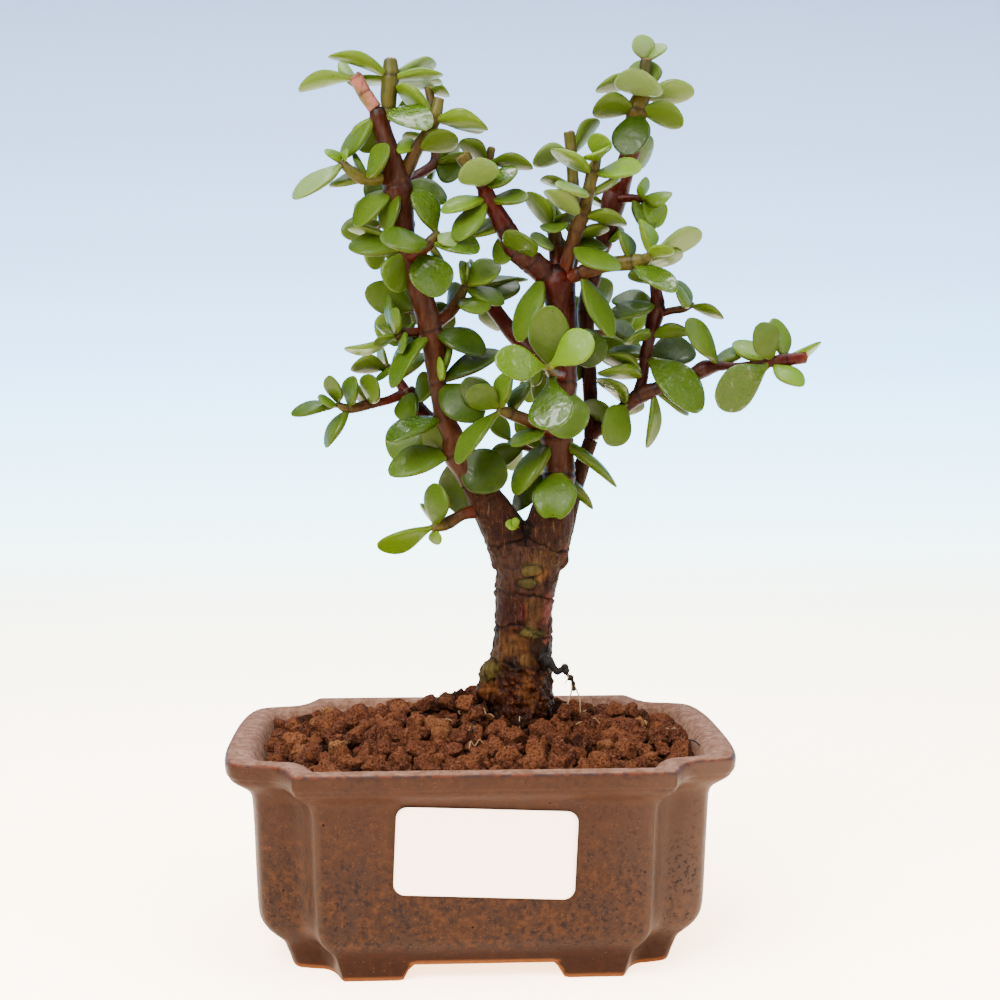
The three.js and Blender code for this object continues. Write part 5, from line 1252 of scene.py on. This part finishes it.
def add_leaf(shape, base, tip, width, face, look, wet, seed, taper=LEAF_TAPER, notch=0, fat=1):
    """An obovate fleshy blade with plump margins: nearly flat above, full below. notch is how deep
    its tip is cut, as a share of its length, and fat is how much thicker it is than most."""
    dice = random.Random(seed)
    along = tip - base
    length = np.linalg.norm(along)
    along = along / length
    across = np.cross(along, face)
    section_x, section_z, margin = leaf_section()
    u = 0.5 - 0.5 * np.cos(math.pi * np.linspace(0.06, 0.985, LEAF_RINGS))
    u = (u - u[0]) / (u[-1] - u[0]) * 0.992
    outline = np.sin(math.pi * u**taper) ** (0.86 - 0.36 * u)
    half = np.maximum(width / 2 * outline, width * 0.085)
    plump = fat * LEAF_THICKNESS * min(1, length / 9) * dice.uniform(0.85, 1.15)
    body = (0.6 + 0.4 * np.sin(math.pi * u)) * np.sqrt(np.clip(1 - u**5, 0.02, 1))
    thick = np.minimum(plump * body, half * 1.7)
    cup = dice.uniform(-0.05, 0.2)
    arch = LEAF_ARCH + dice.uniform(-0.04, 0.04)
    bend = dice.uniform(-0.035, 0.035)
    twist = dice.uniform(-0.22, 0.22)
    x = half[:, None] * section_x
    z = thick[:, None] * section_z + cup * (x / (width / 2)) ** 2 * width / 2
    z += (arch * length * 4 * u * (1 - u))[:, None] - 0.2 * LEAF_THICKNESS
    wobble = ripple(np.stack([x, z, np.broadcast_to(u[:, None] * length, x.shape)], -1), 6, seed)
    z += 0.09 * wobble * np.sin(math.pi * u)[:, None]
    cut = notch * length * bell(x, 0.11 * width) * smoothstep(0.5, 1, u)[:, None]
    turn = twist * (u - 0.3)[:, None]
    x, z = x * np.cos(turn) - z * np.sin(turn), x * np.sin(turn) + z * np.cos(turn)
    sway = bend * length * np.sin(math.pi * u)
    middle = base + (u * length)[:, None] * along + sway[:, None] * across
    points = middle[:, None] + x[..., None] * across + z[..., None] * face - cut[..., None] * along
    rim = np.tile(margin, (LEAF_RINGS, 1)).astype(float)
    rim[-1] = 1
    tone, young = look
    shape.add_rings(
        points, 1, flip=np.cross(across, face).dot(along) < 0,
        tone=np.clip(tone + dice.uniform(-0.15, 0.15), 0, 1), young=young, wet=wet, rim=rim.ravel(),
        upper=np.tile(smoothstep(-0.2, 0.2, section_z), LEAF_RINGS), along=np.repeat(u, LEAF_SIDES),
    )


def joint_heading(joints, i):
    before, after = joints[max(i - 1, 0)], joints[min(i + 1, len(joints) - 1)]
    return unit(np.array(after[:3], float) - np.array(before[:3], float))


def add_leafy_stem(shape, stem, name, growth, seed):
    joints, leaves = stem
    forked = name in FORKED_STEMS
    pruned = joints[-1][3] > PRUNED_RADIUS and not forked
    rings = sorted({leaf[0] for leaf in leaves if leaf[0] > 0})
    add_stem(shape, joints, rings, growth, seed, name in PINK_STEMS, pruned, forked)
    looks = LEAF_LOOKS.get(name, {})
    for number, (i, x, y, z, width, roll) in enumerate(leaves):
        leaf = (name, number)
        base = np.array(FRONT_FEET.get(leaf, joints[i][:3]), float)
        tip = np.array([x, y, z], float)
        face = face_from_roll(base, tip, LEAF_ROLLS.get(leaf, roll), joint_heading(joints, i))
        wet = LEAF_WETNESS["wet" if number in WET_LEAVES.get(name, ()) else "usual"]
        add_leaf(
            shape, base, tip, width, face, LOOKS[looks.get(number, "usual")], wet, seed * 100 + number,
            TAPERED_LEAVES.get(leaf, LEAF_TAPER), NOTCHED_LEAVES.get(leaf, 0), FAT_LEAVES.get(leaf, 1),
        )


def make_leafy_stems(paints):
    for order, (name, stem) in enumerate(LEAFY_STEMS.items()):
        shape = Shape()
        add_leafy_stem(shape, stem, name, STEM_GROWTH.get(name, TWIG_GROWTH), 10 * order + 1)
        for number, branch in enumerate(BRANCHES.get(name, [])):
            add_leafy_stem(shape, branch, name + " branch", TWIG_GROWTH, 10 * order + number + 2)
        new_piece("shoot_" + name, shape, paints, "leafy_shoot", [name])


# ---- Rear shoots ------------------------------------------------------------------------------


def draws(seed):
    """Numbers between two limits, in an order that the seed alone sets, as in the part's source."""
    state = seed

    def between(low, high):
        nonlocal state
        state = (state * 16807) % 2147483647
        return low + (high - low) * state / 2147483647

    return between


def turned(vector, axis, angle):
    """A vector turned about an axis, by Rodrigues' formula."""
    lifted = axis * axis.dot(vector) * (1 - math.cos(angle))
    return vector * math.cos(angle) + np.cross(axis, vector) * math.sin(angle) + lifted


def part_way(limits, share):
    """A value that goes from the first limit to the second one."""
    return limits[0] + (limits[1] - limits[0]) * share


def rear_place(start, way, reach, share):
    return start + way * reach * share + np.array([0, 0, -reach * REAR_DROOP * share**2])


def make_rear_shoots(paints):
    """Shoots at the back of the crown, with crossed pairs of leaves at even steps."""
    for order, (name, (start, way, reach, pairs, first_turn, seed)) in enumerate(REAR_SHOOTS.items()):
        between = draws(seed)
        start, way = np.array(start, float), unit(np.array(way, float))
        shape = Shape()
        shares = [step / REAR_STEPS for step in range(REAR_STEPS + 1)]
        joints = [
            (*rear_place(start, way, reach, share), part_way(REAR_STEM_RADIUS, share))
            for share in shares
        ]
        add_stem(shape, joints, range(1, REAR_STEPS), TWIG_GROWTH, 700 + order)
        for pair in range(1, pairs + 1):
            share = pair / pairs
            base = rear_place(start, way, reach, share * 0.98)
            heading = unit(way + (0, 0, -2 * REAR_DROOP * share))
            level = unit(np.array([heading[1], -heading[0], 0]))
            look = LOOKS["bright" if pair == pairs else "usual"]
            for side in (0, 1):
                turn = math.radians(first_turn + 90 * (pair - 1) + 180 * side)
                slant = math.radians(REAR_LEAF_SLANT + between(-8, 8))
                length = part_way(REAR_LEAF_LENGTH, share) * between(0.9, 1.1)
                along = heading * math.cos(slant) + turned(level, heading, turn) * math.sin(slant)
                face = unit(heading - along * heading.dot(along))
                tip, width = base + along * length, length * LEAF_WIDTH_SHARE
                leaf_seed = 90000 + 100 * order + 2 * pair + side
                add_leaf(shape, base, tip, width, face, look, LEAF_WETNESS["dry"], leaf_seed)
        new_piece("shoot_" + name, shape, paints, "leafy_shoot", [name])


# ---- Trunk ------------------------------------------------------------------------------------


def icosphere(subdivisions):
    bpy.ops.mesh.primitive_ico_sphere_add(subdivisions=subdivisions, radius=1.0)
    ball = bpy.context.object
    mesh = ball.data
    points = np.array([vertex.co for vertex in mesh.vertices])
    faces = [tuple(polygon.vertices) for polygon in mesh.polygons]
    bpy.data.objects.remove(ball)
    bpy.data.meshes.remove(mesh)
    return points, faces


def trunk_shape():
    shape = Shape()
    for joints in TRUNK_PARTS.values():
        add_tube(shape, joints, 28 if joints[0][3] > 3 else 14, 1.0)
    points, faces = icosphere(2)
    for *centre, radius in BARK_SWELLINGS:
        shape.add(np.array(centre) + points * radius, faces)
    return shape


def bark_tint(places, front):
    """The colour of the bark at each place. front: 1 where it faces the front."""
    x, _, z = places.T
    heights = [height for height, _ in BARK_ZONES]
    codes = np.array([colour(code, BARK_DEPTH)[:3] for _, code in BARK_ZONES])
    warped = z + 1.2 * ripple(places, 5, 51)
    tint = np.stack([np.interp(warped, heights, channel) for channel in codes.T], -1)
    layers = [(smoothstep(0.2, 0.9, ripple(places, 3.5, 52)) * (1 - front), REAR_BARK_PATCHES)]
    for number, (px, pz, half_width, half_height, code) in enumerate(BARK_PATCHES):
        away = np.hypot((x - px) / half_width, (z - pz) / half_height)
        away += 0.3 * ripple(places, 1.6, 60 + number) + 0.16 * ripple(places, 0.7, 90 + number)
        layers.append((smoothstep(1.4, 0.6, away) * front, code))
    for share, code in layers:
        share = share[:, None]
        tint = tint * (1 - share) + share * colour(code, BARK_DEPTH)[:3]
    return tint


def bark_cracks(places, wander):
    """How far the cracks and their lips lift the bark, and how deep in a crack each place is, which is
    painted dark: partly the inner bark's colour, partly painted shade.
    """
    x, _, z = places.T
    rise, crack = 0, 0
    for depth, line in BARK_CRACKS:
        level = np.interp(x, *zip(*line)) + wander
        broken = 0.55 + 0.45 * smoothstep(-0.5, 0.3, ripple(places, 3, int(level.mean())))
        near = bell(z - level, 0.3) * broken
        lips = bell(z - level + 0.8, 0.6) + 0.6 * bell(z - level - 0.7, 0.5)
        rise = rise + depth * (0.5 * lips - near)
        crack = np.maximum(crack, near)
    return rise, crack


def bud_scars(places, front, wander):
    """How far the bud scars lift the bark, the groove round each, and the scar itself."""
    x, _, z = places.T
    rise, rims, scars = 0, 0, 0
    for scar_x, scar_z, half_width, half_height in BUD_SCARS:
        away = np.hypot((x - scar_x) / half_width, (z - scar_z) / half_height)
        away += 0.08 * wander + 0.16 * ripple(places, 1.3, 33)
        inside = smoothstep(1.05, 0.8, away) * front
        groove = bell(away - 1.08, 0.12) * front
        rise = rise + 0.3 * inside + 0.07 * inside * np.cos(16 * away) - 0.3 * groove
        rims = np.maximum(rims, groove)
        scars = np.maximum(scars, inside)
    return rise, rims, scars


def shape_bark(trunk):
    """Moves the welded trunk's points for cracks, scars, ridges and flakes, and marks them."""
    mesh = trunk.data
    count = len(mesh.vertices)
    places = np.empty(count * 3)
    mesh.vertices.foreach_get("co", places)
    places = (places.reshape(-1, 3) - POT_CENTRE) / MM
    normals = np.array([vertex.normal for vertex in mesh.vertices])
    x, _, z = places.T
    front = smoothstep(0.25, -0.25, normals[:, 1])
    wander = 0.3 * ripple(places, 2.4, 31) + 0.16 * ripple(places, 0.9, 32)
    rise, crack = bark_cracks(places, wander)
    scar_rise, rims, scar = bud_scars(places, front, wander)
    upright = places * (1, 1, 0.22)
    rise = rise + scar_rise + ripple(upright, 2.2, 41) * 0.10 + ripple(upright, 1.0, 42) * 0.06
    flaky = smoothstep(99, 90, z) * (1 - scar)
    plates = smoothstep(0.1, 0.3, ripple(places * (1, 1, 0.6), 4.5, 43))
    rise += flaky * (0.28 * plates + 0.1 * ripple(places, 1.3, 47))
    rise += smoothstep(69, 60, z) * (0.42 * ripple(places, 2.2, 44) + 0.2 * ripple(places, 1.0, 48))
    # The grooves round the scars and the edges between flakes are painted dark as well: painted shade.
    crack = np.maximum(np.maximum(crack, 0.6 * rims), flaky * 0.5 * bell(plates - 0.3, 0.2))
    damp = smoothstep(*DAMP_HEIGHT, z + 1.5 * ripple(places, 5, 45)) * smoothstep(3.5, 6.5, x)
    places = places + normals * rise[:, None]
    mesh.vertices.foreach_set("co", (POT_CENTRE + places * MM).ravel())
    for name, values in (("crack", crack), ("damp", damp), ("scar", scar)):
        set_values(mesh, name, np.clip(values, 0, 1))
    tint = mesh.attributes.new("tint", "FLOAT_COLOR", "POINT")
    rgba = np.column_stack([bark_tint(places, front), np.ones(count)])
    tint.data.foreach_set("color", rgba.astype(np.float32).ravel())
    mesh.update()


def make_trunk():
    trunk = new_piece("bark_trunk", trunk_shape(), [bark_material()], "bark", ["trunk"])
    weld = trunk.modifiers.new("weld", "REMESH")
    weld.mode = "VOXEL"
    weld.voxel_size = BARK_VOXEL * MM
    weld.use_smooth_shade = True
    soften = trunk.modifiers.new("soften", "SMOOTH")
    soften.factor = 0.5
    soften.iterations = 5
    apply_modifiers(trunk)
    shape_bark(trunk)


def make_fork_bud(paint):
    """The small pair of leaves that sprouts in the fork."""
    shape = Shape()
    for number, (base, tip, width) in enumerate(FORK_BUD):
        base, tip = np.array(base), np.array(tip)
        along = unit(tip - base)
        face = np.array(FORK_BUD_FACE)
        face = unit(face - along * face.dot(along))
        add_leaf(shape, base, tip, width, face, LOOKS["young"], LEAF_WETNESS["dry"], 7000 + number)
    new_piece("fork_bud", shape, [paint, paint], "bark", ["trunk"])


def make_aerial_root(paint):
    """The dried root at the foot of the trunk, gnarled and black, with its pale rootlets."""
    line, _ = smooth_line(AERIAL_ROOT, 0.25)
    places, radii = line[:, :3], line[:, 3]
    gnarls = np.column_stack([ripple(places, 1.3, seed) for seed in (3, 4, 5)])
    radii = np.maximum(radii * (0.9 + 0.3 * ripple(places, 0.9, 6)), 0.15)
    shape = Shape()
    add_tube(shape, np.column_stack([places + 0.18 * gnarls, radii]), 12, 0.2, dark=1.0)
    for rootlet in ROOTLETS:
        add_tube(shape, rootlet, 6, 0.4, dark=0.0)
    new_piece("aerial_root", shape, [paint], "bark", ["trunk"])


# ---- Soil -------------------------------------------------------------------------------------


def bed_height(x, y):
    reach = np.hypot((x - MOUND_CENTRE[0]) / POT_HALF_LENGTH, (y - MOUND_CENTRE[1]) / POT_HALF_DEPTH)
    rise = BED_CROWN_HEIGHT - BED_EDGE_HEIGHT
    return BED_EDGE_HEIGHT + rise * np.maximum(0, 1 - reach) ** 0.8


def from_trunk(x, y):
    return math.hypot(x - TRUNK_FOOT[0], y - TRUNK_FOOT[1])


def wall_distance(outline, x, y):
    """How far inside the wall's outline a place is, or negative outside it."""
    gaps = np.hypot(outline[:, 0] - x, outline[:, 1] - y)
    nearest = outline[gaps.argmin()]
    inside = math.hypot(x, y) < math.hypot(*nearest) or gaps.min() < 0.01
    return gaps.min() if inside else -gaps.min()


def has_room(placed, x, y, size):
    """Whether a granule at a place stays clear enough of those that are placed."""
    if not len(placed):
        return True
    room = np.hypot(placed[:, 0] - x, placed[:, 1] - y)
    return (room - GRAIN_CLOSENESS * (placed[:, 2] + size)).min() >= 0


def scatter_grains():
    """Places of the granules in two layers: large ones first, smaller ones in the room left.
    Gives [x, y, z, radius, layer]."""
    dice = random.Random(7)
    outline, _ = pot_outline()
    side, front = GRAIN_WALL_INSETS
    wall = outline[::3] * (POT_HALF_LENGTH - side, POT_HALF_DEPTH - front)
    grains = []
    for layer in (0, 1):
        placed = np.empty((0, 3))
        for radius, tries in GRAIN_SIZES:
            for _ in range(tries):
                x, y = [dice.uniform(-half, half) for half in GRAIN_FIELD]
                size = radius * dice.uniform(0.9, 1.1)
                if from_trunk(x, y) < TRUNK_CLEARANCE + size * 0.5:
                    continue
                if not has_room(placed, x, y, size) or wall_distance(wall, x, y) < size * 0.85:
                    continue
                placed = np.vstack([placed, (x, y, size)])
                lift = dice.uniform(-0.5, 1.0) - LAYER_DROP * layer
                grains.append((x, y, bed_height(x, y) + 1.5 + lift - 0.2 * size, size, layer))
    return grains + [(*grain, 0) for grain in PILED_GRAINS]


def crumb(ball, dice, seed):
    """A lump of baked clay: a ball cut by planes, then pitted and cracked."""
    points, faces = ball
    points = points * (1 + 0.13 * ripple(points, 1.5, seed)[:, None])
    for _ in range(CRUMB_CUTS):
        way = unit(np.array([dice.gauss(0, 1) for _ in range(3)]))
        over = np.maximum(points @ way - dice.uniform(0.52, 0.86), 0)
        points = points - over[:, None] * way * 0.94
    ridges = np.abs(ripple(points, 0.75, seed + 5000)) - 0.6
    knobs = ripple(points, 0.45, seed + 7000)
    grit = ripple(points, 0.26, seed + 9000)
    points = points * (1 + 0.10 * ridges + 0.045 * knobs + 0.045 * grit)[:, None]
    stretch = [dice.uniform(*limits) for limits in ((0.85, 1.25), (0.85, 1.2), (0.75, 1.05))]
    turn = Euler([dice.uniform(0, 6.28) for _ in range(3)]).to_matrix()
    return (points * stretch) @ np.array(turn).T, faces


def make_granules(paint):
    """Granules in three pieces. The small, the deep and the far ones have fewer faces."""
    dice = random.Random(11)
    fine, coarse = icosphere(4), icosphere(3)
    shapes = {"front": Shape(), "middle": Shape(), "rest": Shape()}
    for number, (x, y, z, size, layer) in enumerate(scatter_grains()):
        seen = layer == 0 and size > 1.5 and y < 12
        points, faces = crumb(fine if seen else coarse, dice, number)
        wet_share = 0.2 if from_trunk(x, y) < 13 else 0.02
        wet = 0.8 if dice.random() < wet_share else 0.0
        tone = min(1, max(0, dice.gauss(0.5, 0.17)))
        part = "rest" if not seen else "front" if y < -13 else "middle"
        shapes[part].add(points * size * 1.06 + (x, y, z), faces, tone=tone, wet=wet)
    for part, shape in shapes.items():
        new_piece("granules_" + part, shape, [paint], "baked_clay_granules", ["soil"])


def make_root_fibres(paint):
    """Pale rootlets and a few black bits that lie among the granules."""
    dice = random.Random(23)
    shape = Shape()
    for number in range(ROOT_FIBRES):
        turn = dice.uniform(0, 2 * math.pi)
        reach = dice.uniform(7, 30)
        x = TRUNK_FOOT[0] + reach * 1.3 * math.cos(turn)
        y = TRUNK_FOOT[1] + reach * math.sin(turn) * 0.85
        dark = number % 5 == 0
        length = dice.uniform(3, 8)
        heading = dice.uniform(0, 2 * math.pi)
        joints = []
        for step in range(5):
            heading += dice.uniform(-0.7, 0.7)
            x += math.cos(heading) * length / 4
            y += math.sin(heading) * length / 4
            height = bed_height(x, y) + dice.uniform(2.2, 3.6) - 0.6 * (step in (0, 4))
            joints.append((x, y, height, (0.16 if dark else 0.1) * dice.uniform(0.8, 1.3)))
        add_tube(shape, joints, 6, 0.5, dark=dark)
    new_piece("root_fibres", shape, [paint], "baked_clay_granules")


def make_soil_bed(paint):
    """The packed soil that shows between the granules, with the root ball's depth under it."""
    outline, _ = pot_outline()
    rings = []
    for height, side, front in SOIL_SIDES:
        ring = outline * (POT_HALF_LENGTH - side, POT_HALF_DEPTH - front)
        rings.append(np.column_stack([ring, np.full(len(ring), height)]))
    side, front = SOIL_TOP_INSETS
    edge = outline * (POT_HALF_LENGTH - side, POT_HALF_DEPTH - front)
    for share in (1.0, 0.97, 0.9, 0.8, 0.7, 0.6, 0.5, 0.4, 0.3, 0.2, 0.1, 0.02):
        x, y = (TRUNK_FOOT + (edge - TRUNK_FOOT) * share).T
        ring = np.column_stack([x, y, bed_height(x, y) - 0.9])
        ring[:, 2] += 0.5 * ripple(ring, 4, 3)
        rings.append(ring)
    shape = Shape()
    shape.add_rings(rings, tone=0.12, wet=0.25)
    new_piece("soil_bed", shape, [paint], "baked_clay_granules")


# ---- Camera, light and floor ------------------------------------------------------------------


def to_metres(place):
    return Vector(POT_CENTRE + np.array(place, float) * MM)


def stand(name, data, place, heading):
    """A camera or a light at a place, looking along a heading."""
    made = bpy.data.objects.new(name, data)
    made.location = place
    made.rotation_euler = heading.to_track_quat("-Z", "Y").to_euler()
    bpy.context.scene.collection.objects.link(made)
    return made


def make_camera():
    camera = bpy.data.cameras.new("camera")
    camera.lens = LENS
    camera.sensor_width = SENSOR
    camera.clip_start = 0.01
    heading = Vector(CAMERA_HEADING)
    bpy.context.scene.camera = stand("camera", camera, to_metres(CAMERA_PLACE), heading)


def make_lights():
    world = bpy.data.worlds.new("studio")
    world.use_nodes = True
    background = world.node_tree.nodes["Background"]
    background.inputs["Color"].default_value = colour(AMBIENT_COLOUR)
    background.inputs["Strength"].default_value = AMBIENT_STRENGTH
    bpy.context.scene.world = world
    for name, place, size, power, tint in LIGHTS:
        light = bpy.data.lights.new(name, "AREA")
        light.shape = "RECTANGLE"
        light.size, light.size_y = size
        light.energy = power
        light.color = tint
        stand(name, light, to_metres(place), to_metres(LIGHT_AIM) - to_metres(place))


def make_backdrop():
    """A pale floor that curves up behind the plant."""
    bend = [(math.sin(turn), 1 - math.cos(turn)) for turn in np.linspace(0, math.pi / 2, 24)]
    arc = [(BEND_START + BEND_RADIUS * out, BEND_RADIUS * up) for out, up in bend]
    sweep = np.array(FLOOR_LINE + arc + BACKDROP_LINE, float)
    way = np.append(0, np.cumsum(np.hypot(*np.diff(sweep, axis=0).T)))
    way = (way + FLOOR_LINE[0][0]) / WAY_LENGTH
    points = [(x, y, z) for y, z in sweep for x in (-BACKDROP_HALF_WIDTH, BACKDROP_HALF_WIDTH)]
    faces = [(i, i + 1, i + 3, i + 2) for i in range(0, len(points) - 2, 2)]
    shape = Shape()
    shape.add(points, faces, way=np.repeat(way, 2))
    new_piece("backdrop", shape, [floor_material()], None)


# ---- Scene ------------------------------------------------------------------------------------

make_camera()
make_lights()
make_backdrop()
make_pot()
make_label()
make_drain_nets()
make_trunk()
soil_paint = granule_material()
make_granules(soil_paint)
make_soil_bed(soil_paint)
root_paint = root_material()
make_root_fibres(root_paint)
make_aerial_root(root_paint)
stem_paint, leaf_paint = stem_material(), leaf_material()
make_fork_bud(leaf_paint)
make_leafy_stems([stem_paint, leaf_paint])
make_rear_shoots([stem_paint, leaf_paint])
